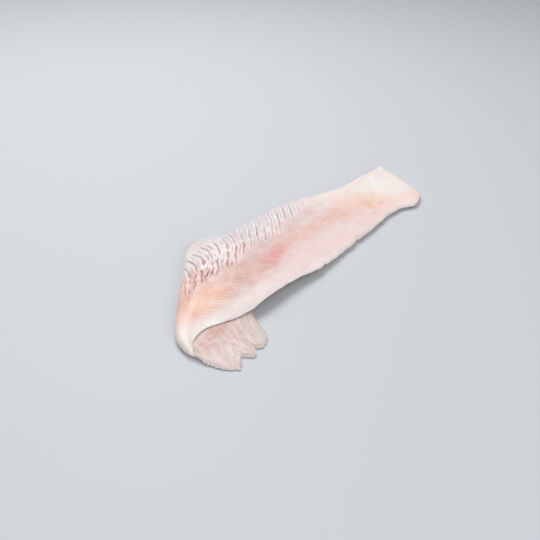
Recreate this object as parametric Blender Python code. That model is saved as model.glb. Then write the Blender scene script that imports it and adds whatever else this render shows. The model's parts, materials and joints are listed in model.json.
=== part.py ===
"""A raw whiting fillet, skinned and laid skin side up, with its head end folded under.

The fillet is one tapering ribbon of flesh. Its long body runs along +X to the cut tail end,
with the thick back edge on the +Y side and the thin belly edge on the -Y side. At the other
end the ribbon rolls down and under along a slanting line, and its ragged head end comes out
again past the belly edge as a thin flap, bone side up.

Every vertex of a flat slab is carried to its place by functions of two shares: "along", from
0 at the head end to 1 at the tail cut, and "across", from 0 at the back edge to 1 at the
belly edge. Lengths are in millimetres until the mesh is written, and the origin is on the
surface that the fillet lies on, under the middle of its box.
"""

import math

import bmesh
import bpy
import numpy as np

MM = 0.001
BOX_MIDDLE = (-0.68, 1.8, 0.0)  # taken off all the places below

# Outlines seen from above. The edges start beside the fold, and run to the tail or the head end.
FOLD_OUTLINE = [(-61.8, 58.8), (-80.3, 38), (-107.1, 10.5), (-127.2, -11.6), (-131.3, -27.3)]
BACK_EDGE = [(-47, 50.3), (-28, 50.6), (-1, 52.9), (19, 53.4), (39, 52.4), (54, 48.9),
             (69, 46.4), (86, 46.4), (108, 49.4), (130, 49.4)]
BELLY_EDGE = [(-122.5, -22), (-113, -19.3), (-103, -21.3), (-92, -23.4), (-78, -24.4), (-52, -21.4),
              (-32, -20), (-16, -19.7), (14, -14.5), (44, -9.7), (72, -4.3), (88, -3.5), (100, -5.6),
              (112.5, -1.4)]
FLAP_BACK_EDGE = [(-57, 33), (-64.5, 13), (-78, -18.3), (-82.8, -30), (-87, -43.6)]
FLAP_BELLY_EDGE = [(-127.9, -34.5), (-127.1, -39), (-123.3, -47), (-117.4, -53.2)]
BELLY_SLIP = (-1.2, -3.0)  # how far the belly edge slips as it goes round the fold

# Thickness of the flesh.
LOIN_THICKNESS = 10.5
TAIL_THICKNESS = 5.8
FLAP_LOIN_THICKNESS = 5.2
FLAP_END_THICKNESS = 2.6
FOLD_STRETCH = 0.82  # the body's flesh thins to this share as it comes up to the fold
LOIN_CENTRE = 0.3  # where across the ribbon the loin is thickest
BACK_SHARE = 0.86  # thickness at the back edge as a share of the loin's
BACK_SHARE_FOLD = 0.66  # the same beside the fold
BELLY_FALL = 1.4  # the flesh thins towards the belly along this power of the distance
BELLY_SHARE_FOLD = 0.16
BELLY_SHARE_HEAD = 0.34
BELLY_SHARE_TAIL = 0.62
BELLY_SHARE_FLAP = 0.66
BELLY_SHARE_FLAP_END = 0.75
LAYER_GAP = 0.6  # air between the folded layers
FOLD_REACH = 1.35  # the fold stands out by this share of half its height
FOLD_POCKET = 0.4  # depth of the pocket left inside the fold
FOLD_EASING = 0.045  # the fold is eased into the body over this share of the rows
BELLY_EASED = 0.85  # the easing ends between here across and the belly rim

# The flap props up the body's underside. Each pair is at the belly edge and at the back edge.
PROP_HEIGHT = (5.4, 7.2)
PROP_FADE_START = (14.0, -6.0)
PROP_FADE_LENGTH = (78.0, 28.0)
PROP_EDGES_Y = (-19.6, 45.4)
PROP_RISE = 0.4  # share of the flap's width over which the body rises to that height
FLAP_SLOPE_Y = (-35.0, -21.0)  # the flap slopes up between these to fill the room under the body

# Rounding of the rims. The belly's underside draws up to a thin rim.
BACK_ROUNDING = 6.5
BACK_ROUNDING_THIN = 3.5
BELLY_ROUNDING = 1.5
CUT_ROUNDING = 1.8
FLAP_ROUNDING = 1.4
FOLD_BELLY_ROUNDING = 2.6
ROUNDING_BELOW = 0.6  # radius under the rim as a share of the radius over it
BELLY_UNDERCUT = 5.5
RIM_DEPTH = 0.58  # depth of the rim under the skin side as a share of the thickness
RIM_DEPTH_BELLY = 0.38
RIM_DEPTH_FLAP = 0.45
RIM_BAND = 0.07  # half the height of the cut rim as a share of the thickness

# The flesh gapes between its flakes along the loin. The flakes are counted from head to tail along
# the line at FAN_Y, and from there the gaps fan out: arcs beside the fold, slanting lines beyond.
FLAKE_PITCH = 6.7
FAN_Y = 25.0
FIRST_GAP_X = -42.7
FAN_X = (-76.0, -40.0)  # between these the fan opens
LEAN = (0.34, 0.88)  # how far a gap leans towards the tail as it goes towards the back
BEND = (0.021, 0.004)  # how much it bends back
SPLIT_X = (-120.0, -104.0, 12.0, 46.0)  # between these the flesh gapes less and less
LOWEST_GAP = [(-125, 16), (-100, 8), (-80, 7), (-60, 9), (-45, 14), (-30, 18), (-15, 21.5), (0, 27),
              (15, 31), (30, 37), (45, 42), (60, 60)]
HIGHEST_GAP = [(-110, 36), (-85, 39), (-70, 35), (-60, 35), (-50, 44), (-40, 46), (-28, 40), (0, 47)]
SEAM = [(-125, 30), (-100, 20), (-85, 18.4), (-75, 18.8), (-55, 22.5), (-40, 25.5), (-20, 28.5)]
SEAM_HALF_WIDTH = 1.4  # an unbroken seam along the loin; below it the flakes broke into crumbs
GAP_DEPTH = 1.2
GAP_HALF_WIDTH = 0.13  # as a share of the pitch
CRUMB_HALF_WIDTH = 0.2
FLAKE_TILT = 0.5
EDGE_NICK = 0.7  # the back edge is nicked where a gap runs out

# The lobes of the ragged head end: from and to across, then how far they stand out at their back
# side, at their middle and at their belly side.
LOBES = [(-0.01, 0.405, -3.0, 1.3, -0.9), (0.405, 0.69, -7.5, 0.9, -4.4), (0.69, 2.2, -4.4, 0.6, 0.6)]
NOTCHES = (0.4, 0.69)
CREASE_DEPTH = 0.55  # the creases that run up the flap from its notches
CREASE_HALF_WIDTH = 0.035
CREASE_DRIFT = 0.3

# The flap's upper side rises in a low curved ridge beside the body's belly edge.
RIDGE_CENTRE = (-119.8, -43.1)
RIDGE_RADIUS = 15.3
RIDGE_HEIGHT = 1.2
RIDGE_HALF_WIDTH = 3.2

# The slab's rows, and the triangles that are kept of it.
ROWS_ALONG = 360
ROWS_ACROSS = 110
FLAP_ROWS = 0.22  # share of the rows in the flap
FOLD_ROWS = 0.10  # share of the rows in the fold
FOLD_TOP = FLAP_ROWS + FOLD_ROWS
TRIANGLES = 11200

FLESH_COLOUR = (0.86, 0.66, 0.58, 1.0)
FLESH_ROUGHNESS = 0.35


def smooth(low, high, value):
    """0 below low, 1 above high, with an S-shaped step between them."""
    share = np.clip((value - low) / (high - low), 0.0, 1.0)
    return share * share * (3.0 - 2.0 * share)


def mix(first, second, share):
    return first + (second - first) * share


def hump(offset, half_width):
    return np.exp(-((offset / half_width) ** 2))


def softly_under(value, ceiling, softness=0.35):
    """The lower of the two, with the corner between them rounded."""
    return -softness * np.logaddexp(-value / softness, -ceiling / softness)


def curve(points, share):
    """The smooth curve through these points, read at shares of its length."""
    knots = np.array(points, float)
    padded = np.vstack([2 * knots[0] - knots[1], knots, 2 * knots[-1] - knots[-2]])
    steps = np.linspace(0.0, len(knots) - 1.0, 40 * len(knots))
    cell = np.minimum(steps.astype(int), len(knots) - 2)
    t = (steps - cell)[:, None]
    before, start, end, after = (padded[cell + offset] for offset in range(4))
    line = start + 0.5 * (
        (end - before) * t
        + (2 * before - 5 * start + 4 * end - after) * t ** 2
        + (3 * start - before - 3 * end + after) * t ** 3
    )
    length = np.append(0.0, np.cumsum(np.linalg.norm(np.diff(line, axis=0), axis=1)))
    wanted = np.clip(share, 0.0, 1.0) * length[-1]
    return np.stack([np.interp(wanted, length, line[:, axis]) for axis in (0, 1)], axis=-1)


def noise(x, y, seed, size):
    """Smooth noise between -1 and 1 whose lumps are about this size."""
    lattice = np.random.default_rng(seed).uniform(-1.0, 1.0, (64, 64))
    left, low = np.floor(x / size), np.floor(y / size)
    rightward, upward = smooth(0.0, 1.0, x / size - left), smooth(0.0, 1.0, y / size - low)
    columns = [(left + step).astype(int) % 64 for step in (0, 1)]
    rows = [(low + step).astype(int) % 64 for step in (0, 1)]
    lower, upper = (mix(lattice[row, columns[0]], lattice[row, columns[1]], rightward) for row in rows)
    return mix(lower, upper, upward)


def cross_section(across, back_share, belly_share):
    """Thickness across the ribbon as a share of the loin's: thick loin, thin belly."""
    past_loin = np.clip((across - LOIN_CENTRE) / (1.0 - LOIN_CENTRE), 0.0, 1.0)
    to_belly = mix(1.0, belly_share, past_loin ** BELLY_FALL)
    to_back = mix(1.0, back_share, np.clip(1.0 - across / LOIN_CENTRE, 0.0, 1.0) ** 2)
    return np.where(across > LOIN_CENTRE, to_belly, to_back)


def body_thickness(toward_tail, across):
    loin = mix(LOIN_THICKNESS, TAIL_THICKNESS, smooth(0.35, 1.0, toward_tail))
    past_fold = smooth(0.0, 0.2, toward_tail)
    loin = loin * mix(FOLD_STRETCH, 1.0, past_fold)
    back = mix(BACK_SHARE_FOLD, BACK_SHARE, past_fold)
    belly = mix(BELLY_SHARE_FOLD, BELLY_SHARE_HEAD, past_fold)
    belly = mix(belly, BELLY_SHARE_TAIL, smooth(0.3, 0.9, toward_tail))
    return loin * cross_section(across, back, belly)


def flap_thickness(toward_end, across):
    thinning = smooth(0.0, 1.0, toward_end)
    loin = mix(FLAP_LOIN_THICKNESS, FLAP_END_THICKNESS, thinning)
    belly = mix(BELLY_SHARE_FLAP, BELLY_SHARE_FLAP_END, thinning)
    return loin * cross_section(across, BACK_SHARE_FOLD, belly)


def fold_frame(across):
    """The fold: its crease line on plan, the inward direction, its reach and half its height."""
    outline = curve(FOLD_OUTLINE, across)
    ahead = curve(FOLD_OUTLINE, across + 0.01) - curve(FOLD_OUTLINE, across - 0.01)
    ahead = ahead / np.linalg.norm(ahead, axis=-1, keepdims=True)
    inward = np.stack([-ahead[..., 1], ahead[..., 0]], axis=-1)
    layers = flap_thickness(0.0, across) + LAYER_GAP + body_thickness(0.0, across)
    half_height = layers / 2.0
    reach = FOLD_REACH * half_height
    return outline + inward * reach[..., None], inward, reach, half_height


def crease_ends():
    crease = fold_frame(np.array([0.0, 1.0]))[0]
    return [tuple(crease[0])], [tuple(crease[1])]


def prop_height(x, y):
    """Height of the body's underside over the surface that the fillet lies on."""
    share = np.linspace(0.0, 1.0, 200)
    crease = fold_frame(share)[0][::-1]
    flap_back = curve(crease_ends()[0] + FLAP_BACK_EDGE, share)[::-1]
    on_crease = (flap_thickness(0.0, share) + LAYER_GAP)[::-1]
    crease_x = np.interp(y, crease[:, 1], crease[:, 0])
    back_x = np.interp(y, flap_back[:, 1], flap_back[:, 0])
    toward_back = smooth(*PROP_EDGES_Y, y)
    over_flap = (x - crease_x) / np.maximum(back_x - crease_x, 6.0)
    by_crease = np.interp(y, crease[:, 1], on_crease)
    rising = 1.0 - np.clip(1.0 - over_flap / PROP_RISE, 0.0, 1.0) ** 2
    height = mix(by_crease, mix(*PROP_HEIGHT, toward_back), rising)
    past_flap = x - back_x - mix(*PROP_FADE_START, toward_back)
    return height * (1.0 - smooth(0.0, 1.0, past_flap / mix(*PROP_FADE_LENGTH, toward_back)))


def gathered(plan, z, out_plan, out_z, flesh, unrolled):
    """One row for each vertex: place on the skin side, way out of it, thickness, place unfolded."""
    columns = [plan, z[..., None], out_plan, out_z[..., None], flesh[..., None], unrolled]
    return np.concatenate(columns, axis=-1)


def body_sheet(toward_tail, across):
    """Straight lines from edge to edge, bowed like the crease where they start beside it."""
    back_start, belly_start = crease_ends()
    back, belly = curve(back_start + BACK_EDGE, toward_tail), curve(belly_start + BELLY_EDGE, toward_tail)
    bow = fold_frame(across)[0] - mix(np.array(back_start[0]), np.array(belly_start[0]), across[..., None])
    plan = mix(back, belly, across[..., None]) + bow * (1.0 - smooth(0.0, 0.3, toward_tail))[..., None]
    flesh = body_thickness(toward_tail, across)
    on_crease = flap_thickness(0.0, across) + LAYER_GAP
    prop = mix(on_crease, prop_height(plan[..., 0], plan[..., 1]), smooth(0.0, 0.05, toward_tail))
    return gathered(plan, prop + flesh, 0.0 * plan, np.ones_like(prop), flesh, plan)


def slipped_crease(turned_under, across):
    slip = turned_under * np.clip(5.0 * across - 4.0, 0.0, 1.0) ** 2
    return fold_frame(across)[0] + slip[..., None] * np.array(BELLY_SLIP)


def fold_sheet(turn, across):
    """Half ellipses that stand on the crease line: turn is 0 under the fold and 1 on top of it."""
    _, inward, reach, half_height = fold_frame(across)
    crease = slipped_crease(1.0 - turn, across)
    angle = math.pi * (1.0 - turn)
    plan = crease - inward * (reach * np.sin(angle))[..., None]
    z = half_height * (1.0 + np.cos(angle))
    flap, body = flap_thickness(0.0, across), body_thickness(0.0, across)
    flesh = mix(flap, body, turn)
    bone_z = flap + LAYER_GAP * turn
    arc = 0.5 * (reach + half_height) * angle
    unrolled = crease - inward * arc[..., None]
    out_plan = -inward * (np.sin(angle) * (reach - FOLD_POCKET) / flesh)[..., None]
    return gathered(plan, z, out_plan, (z - bone_z) / flesh, flesh, unrolled)


def end_line(across):
    """The ragged head end: a line from corner to corner with lobes between notches."""
    back, belly = np.array(FLAP_BACK_EDGE[-1], float), np.array(FLAP_BELLY_EDGE[-1], float)
    outward = np.zeros_like(across)
    for start, end, back_side, middle, belly_side in LOBES:
        from_middle = 2.0 * (across - start) / (end - start) - 1.0
        side = np.where(from_middle < 0.0, back_side, belly_side)
        outward = np.where(across >= start, mix(middle, side, np.abs(from_middle) ** 3), outward)
    way = mix(back - FLAP_BACK_EDGE[-2], belly - FLAP_BELLY_EDGE[-2], across[..., None])
    way = way / np.linalg.norm(way, axis=-1, keepdims=True)
    return mix(back, belly, across[..., None]) + outward[..., None] * way


def flap_plan(toward_end, across):
    """Lines from edge to edge again, from the crease line to the ragged end."""
    crease = slipped_crease(np.ones_like(across), across)
    back_start = crease_ends()[0]
    belly_start = [tuple(slipped_crease(np.ones(1), np.ones(1))[0])]
    back = curve(back_start + FLAP_BACK_EDGE, toward_end)
    belly = curve(belly_start + FLAP_BELLY_EDGE, toward_end)
    share = across[..., None]
    start_bow = crease - mix(np.array(back_start[0]), np.array(belly_start[0]), share)
    end_bow = end_line(across) - mix(np.array(FLAP_BACK_EDGE[-1]), np.array(FLAP_BELLY_EDGE[-1]), share)
    start_bow = start_bow * (1.0 - smooth(0.0, 0.6, toward_end))[..., None]
    end_bow = end_bow * smooth(0.6, 1.0, toward_end)[..., None]
    return crease, mix(back, belly, share) + start_bow + end_bow


def flap_relief(x, y, toward_end, across):
    """The ridge on the flap's upper side, and the creases that run up from its notches."""
    from_ridge = np.hypot(x - RIDGE_CENTRE[0], y - RIDGE_CENTRE[1]) - RIDGE_RADIUS
    relief = RIDGE_HEIGHT * hump(from_ridge, RIDGE_HALF_WIDTH) * smooth(-50.0, -44.0, y)
    for notch in NOTCHES:
        from_crease = across - notch - CREASE_DRIFT * (1.0 - toward_end)
        crease = hump(from_crease, CREASE_HALF_WIDTH) * smooth(0.7, 1.0, toward_end)
        relief = relief - CREASE_DEPTH * crease
    return relief * (1.0 - smooth(-32.0, -24.0, y))


def flap_sheet(toward_end, across):
    """The flap, lying skin side down and held under the body."""
    crease, plan = flap_plan(toward_end, across)
    x, y = plan[..., 0], plan[..., 1]
    relief = flap_relief(x, y, toward_end, across) * smooth(0.0, 0.15, toward_end)
    flesh = flap_thickness(toward_end, across) + relief
    room = prop_height(x, y) - LAYER_GAP
    filled = smooth(*FLAP_SLOPE_Y, y) * smooth(0.05, 0.4, toward_end)
    flesh = mix(flesh, mix(softly_under(flesh, room), room, filled), smooth(0.0, 0.2, toward_end))
    _, inward, reach, half_height = fold_frame(across)
    folded_length = 0.5 * math.pi * (reach + half_height) + np.linalg.norm(plan - crease, axis=-1)
    unrolled = crease - inward * folded_length[..., None]
    return gathered(plan, 0.0 * x, 0.0 * plan, -np.ones_like(x), flesh, unrolled)


def shares(along):
    """Where a point is on the flap, on the fold and on the body."""
    toward_end = np.clip(1.0 - along / FLAP_ROWS, 0.0, 1.0)
    turn = np.clip((along - FLAP_ROWS) / FOLD_ROWS, 0.0, 1.0)
    toward_tail = np.clip((along - FOLD_TOP) / (1.0 - FOLD_TOP), 0.0, 1.0)
    return toward_end, turn, toward_tail


def raw_sheet(along, across):
    """The sheet that holds each vertex: flap, fold or body."""
    toward_end, turn, toward_tail = shares(along)
    in_flap, in_fold = (along < FLAP_ROWS)[:, None], (along < FOLD_TOP)[:, None]
    folded = np.where(in_flap, flap_sheet(toward_end, across), fold_sheet(turn, across))
    return np.where(in_fold, folded, body_sheet(toward_tail, across))


def eased_sheet(along, across):
    """The sheet averaged along its rows about the top of the fold, where it would show a crease."""
    rising = smooth(FOLD_TOP - 0.6 * FOLD_ROWS, FOLD_TOP, along)
    falling = 1.0 - smooth(FOLD_TOP, FOLD_TOP + 2.5 * FOLD_EASING, along)
    rising = rising * (1.0 - smooth(BELLY_EASED, 1.0, across))
    steps = np.linspace(-FOLD_EASING, FOLD_EASING, 7)
    return sum(raw_sheet(along + step * rising * falling, across) for step in steps) / len(steps)


def rim_distances(along, across):
    """How far in each point is from the back rim, the belly rim and the cut or torn end."""
    toward_end, _, toward_tail = shares(along)
    in_flap = along < FLAP_ROWS
    width = np.where(in_flap, mix(68.0, 29.0, toward_end), mix(68.0, 49.0, toward_tail))
    from_cut = np.where(in_flap, (1.0 - toward_end) * 75.0, (1.0 - toward_tail) * 200.0)
    return across * width, (1.0 - across) * width, from_cut


def quarter_round(rims):
    """0 on any of the rims, rising to 1 inside it along a quarter circle of the size given."""
    inset = sum(np.clip(1.0 - distance / size, 0.0, 1.0) ** 3 for distance, size in rims)
    return np.sqrt(1.0 - np.minimum(inset, 1.0) ** (2.0 / 3.0))


def rim_profile(along, across):
    """The quarter rounds above and below the rim, and how deep the rim lies under the skin.

    Inside the fold the belly rims lie flat on one another, so there they stay square below.
    """
    toward_end, _, toward_tail = shares(along)
    from_back, from_belly, from_cut = rim_distances(along, across)
    on_flap = smooth(0.0, 0.3, toward_end)
    back_size = mix(BACK_ROUNDING, BACK_ROUNDING_THIN, smooth(0.5, 1.0, toward_tail))
    back_size = mix(back_size, FLAP_ROUNDING, on_flap)
    cut_size = mix(CUT_ROUNDING, FLAP_ROUNDING, on_flap)
    undercut = mix(ROUNDING_BELOW * BELLY_ROUNDING, BELLY_UNDERCUT, smooth(0.0, 0.3, toward_tail))
    by_fold = smooth(0.0, 1.0, along / FLAP_ROWS) * (1.0 - smooth(0.0, 0.15, toward_tail))
    belly_size = mix(BELLY_ROUNDING, FOLD_BELLY_ROUNDING, by_fold)
    above = quarter_round([(from_back, back_size), (from_belly, belly_size), (from_cut, cut_size)])
    below = quarter_round([(from_back, ROUNDING_BELOW * back_size), (from_belly, undercut),
                           (from_cut, ROUNDING_BELOW * cut_size)])
    near_fold = smooth(0.5, 1.0, along / FLAP_ROWS) * (1.0 - smooth(0.0, 0.2, toward_tail))
    below = mix(below, 1.0, near_fold * smooth(0.4, 0.6, across))
    rim_depth = mix(RIM_DEPTH, RIM_DEPTH_BELLY, smooth(0.55, 1.0, across))
    return above, below, mix(rim_depth, RIM_DEPTH_FLAP, on_flap)


def along_line(points, x):
    """Height of a line through these points, read at x."""
    knots = np.array(points, float)
    return np.interp(x, knots[:, 0], knots[:, 1])


def flake_count(x, y):
    """Counts the flakes from head to tail: it is a whole number along each gap."""
    up = y - FAN_Y
    root = x
    for _ in range(14):
        opened = np.clip((root - FAN_X[0]) / (FAN_X[1] - FAN_X[0]), 0.0, 1.0)
        crossing = root + mix(*LEAN, opened) * up - mix(*BEND, opened) * up ** 2
        root = root - 0.5 * (crossing - x)
    return (root - FIRST_GAP_X) / FLAKE_PITCH + 0.10 * noise(x, y, 3, 16.0)


def open_gap(count, half_width):
    """1 along each whole number of the count, falling off to both sides."""
    return hump(count - np.round(count), half_width)


def gaping(x, y):
    """Depth of the gaps between the flakes under the skin side, where the ribbon lies flat."""
    count = flake_count(x, y)
    lowest = along_line(LOWEST_GAP, x) - 2.2 * noise(x, y, 5, 8.0)
    torn = smooth(-1.5, 4.0, y - lowest) * smooth(*SPLIT_X[:2], x) * (1.0 - smooth(*SPLIT_X[2:], x))
    closed = smooth(-2.0, 6.0, y - along_line(HIGHEST_GAP, x))
    torn = torn * mix(1.0, mix(0.1, 0.3, smooth(*FAN_X, x)), closed)
    over_seam = y - along_line(SEAM, x)
    crumbly = (1.0 - smooth(-0.5, 1.5, over_seam)) * (1.0 - smooth(-70.0, -56.0, x))
    crumbs = open_gap(2.0 * count, CRUMB_HALF_WIDTH) * np.clip(0.8 + noise(x, y, 45, 3.0), 0.0, 1.4)
    gap = mix(open_gap(count, GAP_HALF_WIDTH), crumbs, crumbly)
    gap = gap * (1.0 - 0.9 * hump(over_seam, SEAM_HALF_WIDTH) * (1.0 - smooth(-35.0, -18.0, x)))
    uneven = np.clip(0.95 + 0.8 * noise(x, y, 8, 6.5), 0.1, 1.7)
    tilt = FLAKE_TILT * (1.0 - (count - np.floor(count))) * (1.0 - np.clip(gap, 0.0, 1.0))
    return torn * (GAP_DEPTH * gap * uneven + tilt)


def edge_moves(along, across, x, y):
    """How far the back and belly edges are nicked or wander in Y; it fades away 2 mm inside."""
    from_back, from_belly, _ = rim_distances(along, across)
    split = smooth(-48.0, -40.0, x) * (1.0 - smooth(22.0, 40.0, x))
    back = -EDGE_NICK * open_gap(flake_count(x, y), GAP_HALF_WIDTH) * split * hump(from_back, 2.0)
    belly = 0.4 * noise(x, 0.0 * x, 53, 4.5) * hump(from_belly, 2.0)
    return (back + belly) * smooth(FOLD_TOP + 0.02, FOLD_TOP + 0.1, along)


def fillet_points(along, across, bone_side):
    """Where the slab's vertices go, in millimetres."""
    sheet = eased_sheet(along, across)
    place, out, flesh, unrolled = sheet[:, :3], sheet[:, 3:6], sheet[:, 6], sheet[:, 7:]
    above, below, rim_depth = rim_profile(along, across)
    band = RIM_BAND * flesh
    skin_depth = (rim_depth * flesh - band) * (1.0 - above)
    past_turn = smooth(FLAP_ROWS + 0.3 * FOLD_ROWS, FOLD_TOP - 0.15 * FOLD_ROWS, along)
    gapes = smooth(0.05, 0.5, above) * past_turn
    skin_depth = skin_depth + gaping(*unrolled.T) * gapes
    bone_depth = flesh - ((1.0 - rim_depth) * flesh - band) * (1.0 - below)
    place[:, 1] += edge_moves(along, across, *unrolled.T)
    return place - out * np.where(bone_side, bone_depth, skin_depth)[:, None] - np.array(BOX_MIDDLE)


def make_slab():
    """A flat slab, one unit square, with the ribbon's rows along X and across Y."""
    slab = bmesh.new()
    bmesh.ops.create_grid(slab, x_segments=ROWS_ALONG, y_segments=ROWS_ACROSS, size=0.5)
    bmesh.ops.solidify(slab, geom=slab.faces[:], thickness=0.1)
    return slab


def make_fillet():
    slab = make_slab()
    mesh = bpy.data.meshes.new("fillet")
    slab.to_mesh(mesh)
    slab.free()
    flat = np.empty(3 * len(mesh.vertices))
    mesh.vertices.foreach_get("co", flat)
    x, y, z = flat.reshape(-1, 3).T
    points = fillet_points(0.5 + x, 0.5 - y, z < 0.5 * (z.min() + z.max()))
    mesh.vertices.foreach_set("co", (points * MM).ravel())
    mesh.update()
    mesh.shade_smooth()
    fillet = bpy.data.objects.new("fillet", mesh)
    fewer = fillet.modifiers.new("fewer triangles", "DECIMATE")
    fewer.use_collapse_triangulate = True
    fewer.ratio = TRIANGLES / (2.0 * len(mesh.polygons))
    return fillet


def flesh_material():
    material = bpy.data.materials.new("raw white flesh")
    material.use_nodes = True
    shader = material.node_tree.nodes["Principled BSDF"]
    shader.inputs["Base Color"].default_value = FLESH_COLOUR
    shader.inputs["Roughness"].default_value = FLESH_ROUGHNESS
    shader.inputs["Metallic"].default_value = 0.0
    return material


def main():
    for thing in list(bpy.data.objects):
        bpy.data.objects.remove(thing, do_unlink=True)
    collection = bpy.data.collections.new("whiting fillet")
    bpy.context.scene.collection.children.link(collection)
    fillet = make_fillet()
    fillet.data.materials.append(flesh_material())
    collection.objects.link(fillet)


main()
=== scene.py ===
# %% [markdown]
# # A raw whiting fillet, folded under at its head end
# A whiting fillet is a ribbon of white flesh cut along the fish's backbone. This one has been
# skinned and laid with its skin side up. The thick loin lies along the back edge, the thin belly
# runs along the other, and the tail is cut off with a knife. At the head end the ribbon rolls down
# and under, and its ragged end comes out again past the belly edge as a thin flap, bone side up.
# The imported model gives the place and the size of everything. What is made here stands where its
# solid stands, with a finer surface and the look of moist raw flesh. On purpose it differs from the
# solid in two places: the belly is thinner by the fold, and the cut end has a fuller corner.

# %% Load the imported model
import json
import math

import bpy
import numpy as np
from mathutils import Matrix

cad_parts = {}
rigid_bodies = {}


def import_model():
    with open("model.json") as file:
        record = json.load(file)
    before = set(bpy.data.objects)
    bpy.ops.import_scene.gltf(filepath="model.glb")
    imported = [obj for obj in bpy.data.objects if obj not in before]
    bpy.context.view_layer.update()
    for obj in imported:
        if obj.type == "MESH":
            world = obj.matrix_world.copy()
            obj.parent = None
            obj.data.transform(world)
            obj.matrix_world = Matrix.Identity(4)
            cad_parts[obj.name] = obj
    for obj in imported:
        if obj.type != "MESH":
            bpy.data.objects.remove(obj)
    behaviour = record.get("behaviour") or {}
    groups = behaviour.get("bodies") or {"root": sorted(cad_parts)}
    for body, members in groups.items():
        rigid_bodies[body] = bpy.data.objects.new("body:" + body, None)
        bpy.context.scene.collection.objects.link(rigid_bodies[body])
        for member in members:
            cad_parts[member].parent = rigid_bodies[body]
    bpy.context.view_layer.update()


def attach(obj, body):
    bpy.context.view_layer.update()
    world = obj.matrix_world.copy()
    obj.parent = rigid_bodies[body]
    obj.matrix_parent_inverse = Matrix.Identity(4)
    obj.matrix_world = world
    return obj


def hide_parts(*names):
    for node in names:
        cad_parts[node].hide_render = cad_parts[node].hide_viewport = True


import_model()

# %% [markdown]
# ## One slab, carried into place
# A folded ribbon could be sculpted, or simulated as soft flesh falling on itself. Here a plain
# formula is used, because the real piece is simple: a ribbon with two edges, a fold and two ends.
# Each point of a flat slab knows two shares, "along" from the head end (0) to the tail cut (1) and
# "across" from the back edge (0) to the belly edge (1), and functions of the two carry it to its
# place. The lengths are in millimetres until the mesh is written. We start with the small helpers
# that the rest is built from: a soft step, a mix, a hump and smooth noise.

# %% Soft steps, mixes, humps and noise
MM = 0.001
LATTICE = 64  # the noise repeats after this many lumps


def smooth(low, high, value):
    """0 below low, 1 above high, with an S-shaped step between them."""
    share = np.clip((value - low) / (high - low), 0.0, 1.0)
    return share * share * (3.0 - 2.0 * share)


def mix(first, second, share):
    """The first where share is 0, the second where it is 1."""
    return first + (second - first) * share


def hump(offset, half_width):
    """1 in the middle, falling off softly to both sides."""
    return np.exp(-((offset / half_width) ** 2))


def noise(x, y, seed, size):
    """Smooth noise between -1 and 1 whose lumps are about this size."""
    lattice = np.random.default_rng(seed).uniform(-1.0, 1.0, (LATTICE, LATTICE))
    left, low = np.floor(x / size), np.floor(y / size)
    rightward, upward = smooth(0.0, 1.0, x / size - left), smooth(0.0, 1.0, y / size - low)
    columns = [(left + step).astype(int) % LATTICE for step in (0, 1)]
    rows = [(low + step).astype(int) % LATTICE for step in (0, 1)]
    lower, upper = (mix(lattice[row, columns[0]], lattice[row, columns[1]], rightward) for row in rows)
    return mix(lower, upper, upward)


print("a soft step at a quarter, half and three quarters:", smooth(0, 1, np.array([0.25, 0.5, 0.75])))

# %% [markdown]
# ## The outlines
# The edges are drawn as a cutter would see them from above: a few points on each, joined by a
# smooth curve that is read at even steps of its length. The fold's outline runs along the ribbon's
# rolled end, from the back edge to the belly edge. Each edge of the body starts beside the fold and
# runs to the tail, and each edge of the flap runs from the fold to the ragged head end. The points
# were picked in the photo, carried to millimetres with the fitted camera, and then moved.

# %% Edges as curves through a few points
FOLD_OUTLINE = [(-61.8, 58.8), (-80.3, 38), (-107.1, 10.5), (-127.2, -11.6), (-131.3, -27.3)]
BACK_EDGE = [(-47, 50.3), (-28, 50.6), (-1, 52.9), (19, 53.4), (39, 52.4), (54, 48.9),
             (69, 46.4), (86, 46.4), (108, 49.4), (130, 49.4)]
BELLY_EDGE = [(-122.5, -22), (-113, -19.3), (-103, -21.3), (-92, -23.4), (-78, -24.4), (-52, -21.4),
              (-32, -20), (-16, -19.7), (14, -14.5), (44, -9.7), (72, -4.3), (88, -3.5), (100, -5.6),
              (112.5, -1.4)]
FLAP_BACK_EDGE = [(-57, 33), (-64.5, 13), (-78, -18.3), (-82.8, -30), (-87, -43.6)]
FLAP_BELLY_EDGE = [(-127.9, -34.5), (-127.1, -39), (-123.3, -47), (-117.4, -53.2)]
BELLY_SLIP = (-1.2, -3.0)  # how far the belly edge slips as it goes round the fold
BOX_MIDDLE = np.array([-0.68, 1.8, 0.0])  # taken off every place, to centre the fillet
CURVE_STEPS = 40  # steps in which a curve is measured, for each of its points


def curve(points, share):
    """The smooth curve through these points, read at shares of its length."""
    knots = np.array(points, float)
    padded = np.vstack([2 * knots[0] - knots[1], knots, 2 * knots[-1] - knots[-2]])
    steps = np.linspace(0.0, len(knots) - 1.0, CURVE_STEPS * len(knots))
    cell = np.minimum(steps.astype(int), len(knots) - 2)
    t = (steps - cell)[:, None]
    before, start, end, after = (padded[cell + offset] for offset in range(4))
    line = start + 0.5 * (
        (end - before) * t
        + (2 * before - 5 * start + 4 * end - after) * t ** 2
        + (3 * start - before - 3 * end + after) * t ** 3
    )
    length = np.append(0.0, np.cumsum(np.linalg.norm(np.diff(line, axis=0), axis=1)))
    wanted = np.clip(share, 0.0, 1.0) * length[-1]
    return np.stack([np.interp(wanted, length, line[:, axis]) for axis in (0, 1)], axis=-1)


middle = curve(BACK_EDGE, 0.5) - curve(BELLY_EDGE, 0.5)
print("width at the middle of the body: %.0f mm" % np.linalg.norm(middle))

# %% [markdown]
# ## The thickness
# Raw flesh is thickest along the loin, a third of the way in from the back edge. It thins to the
# tail, and most of all to the belly, which once wrapped the gut. The same few numbers serve the
# body and the flap, so the two meet at the fold without a step.

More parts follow.
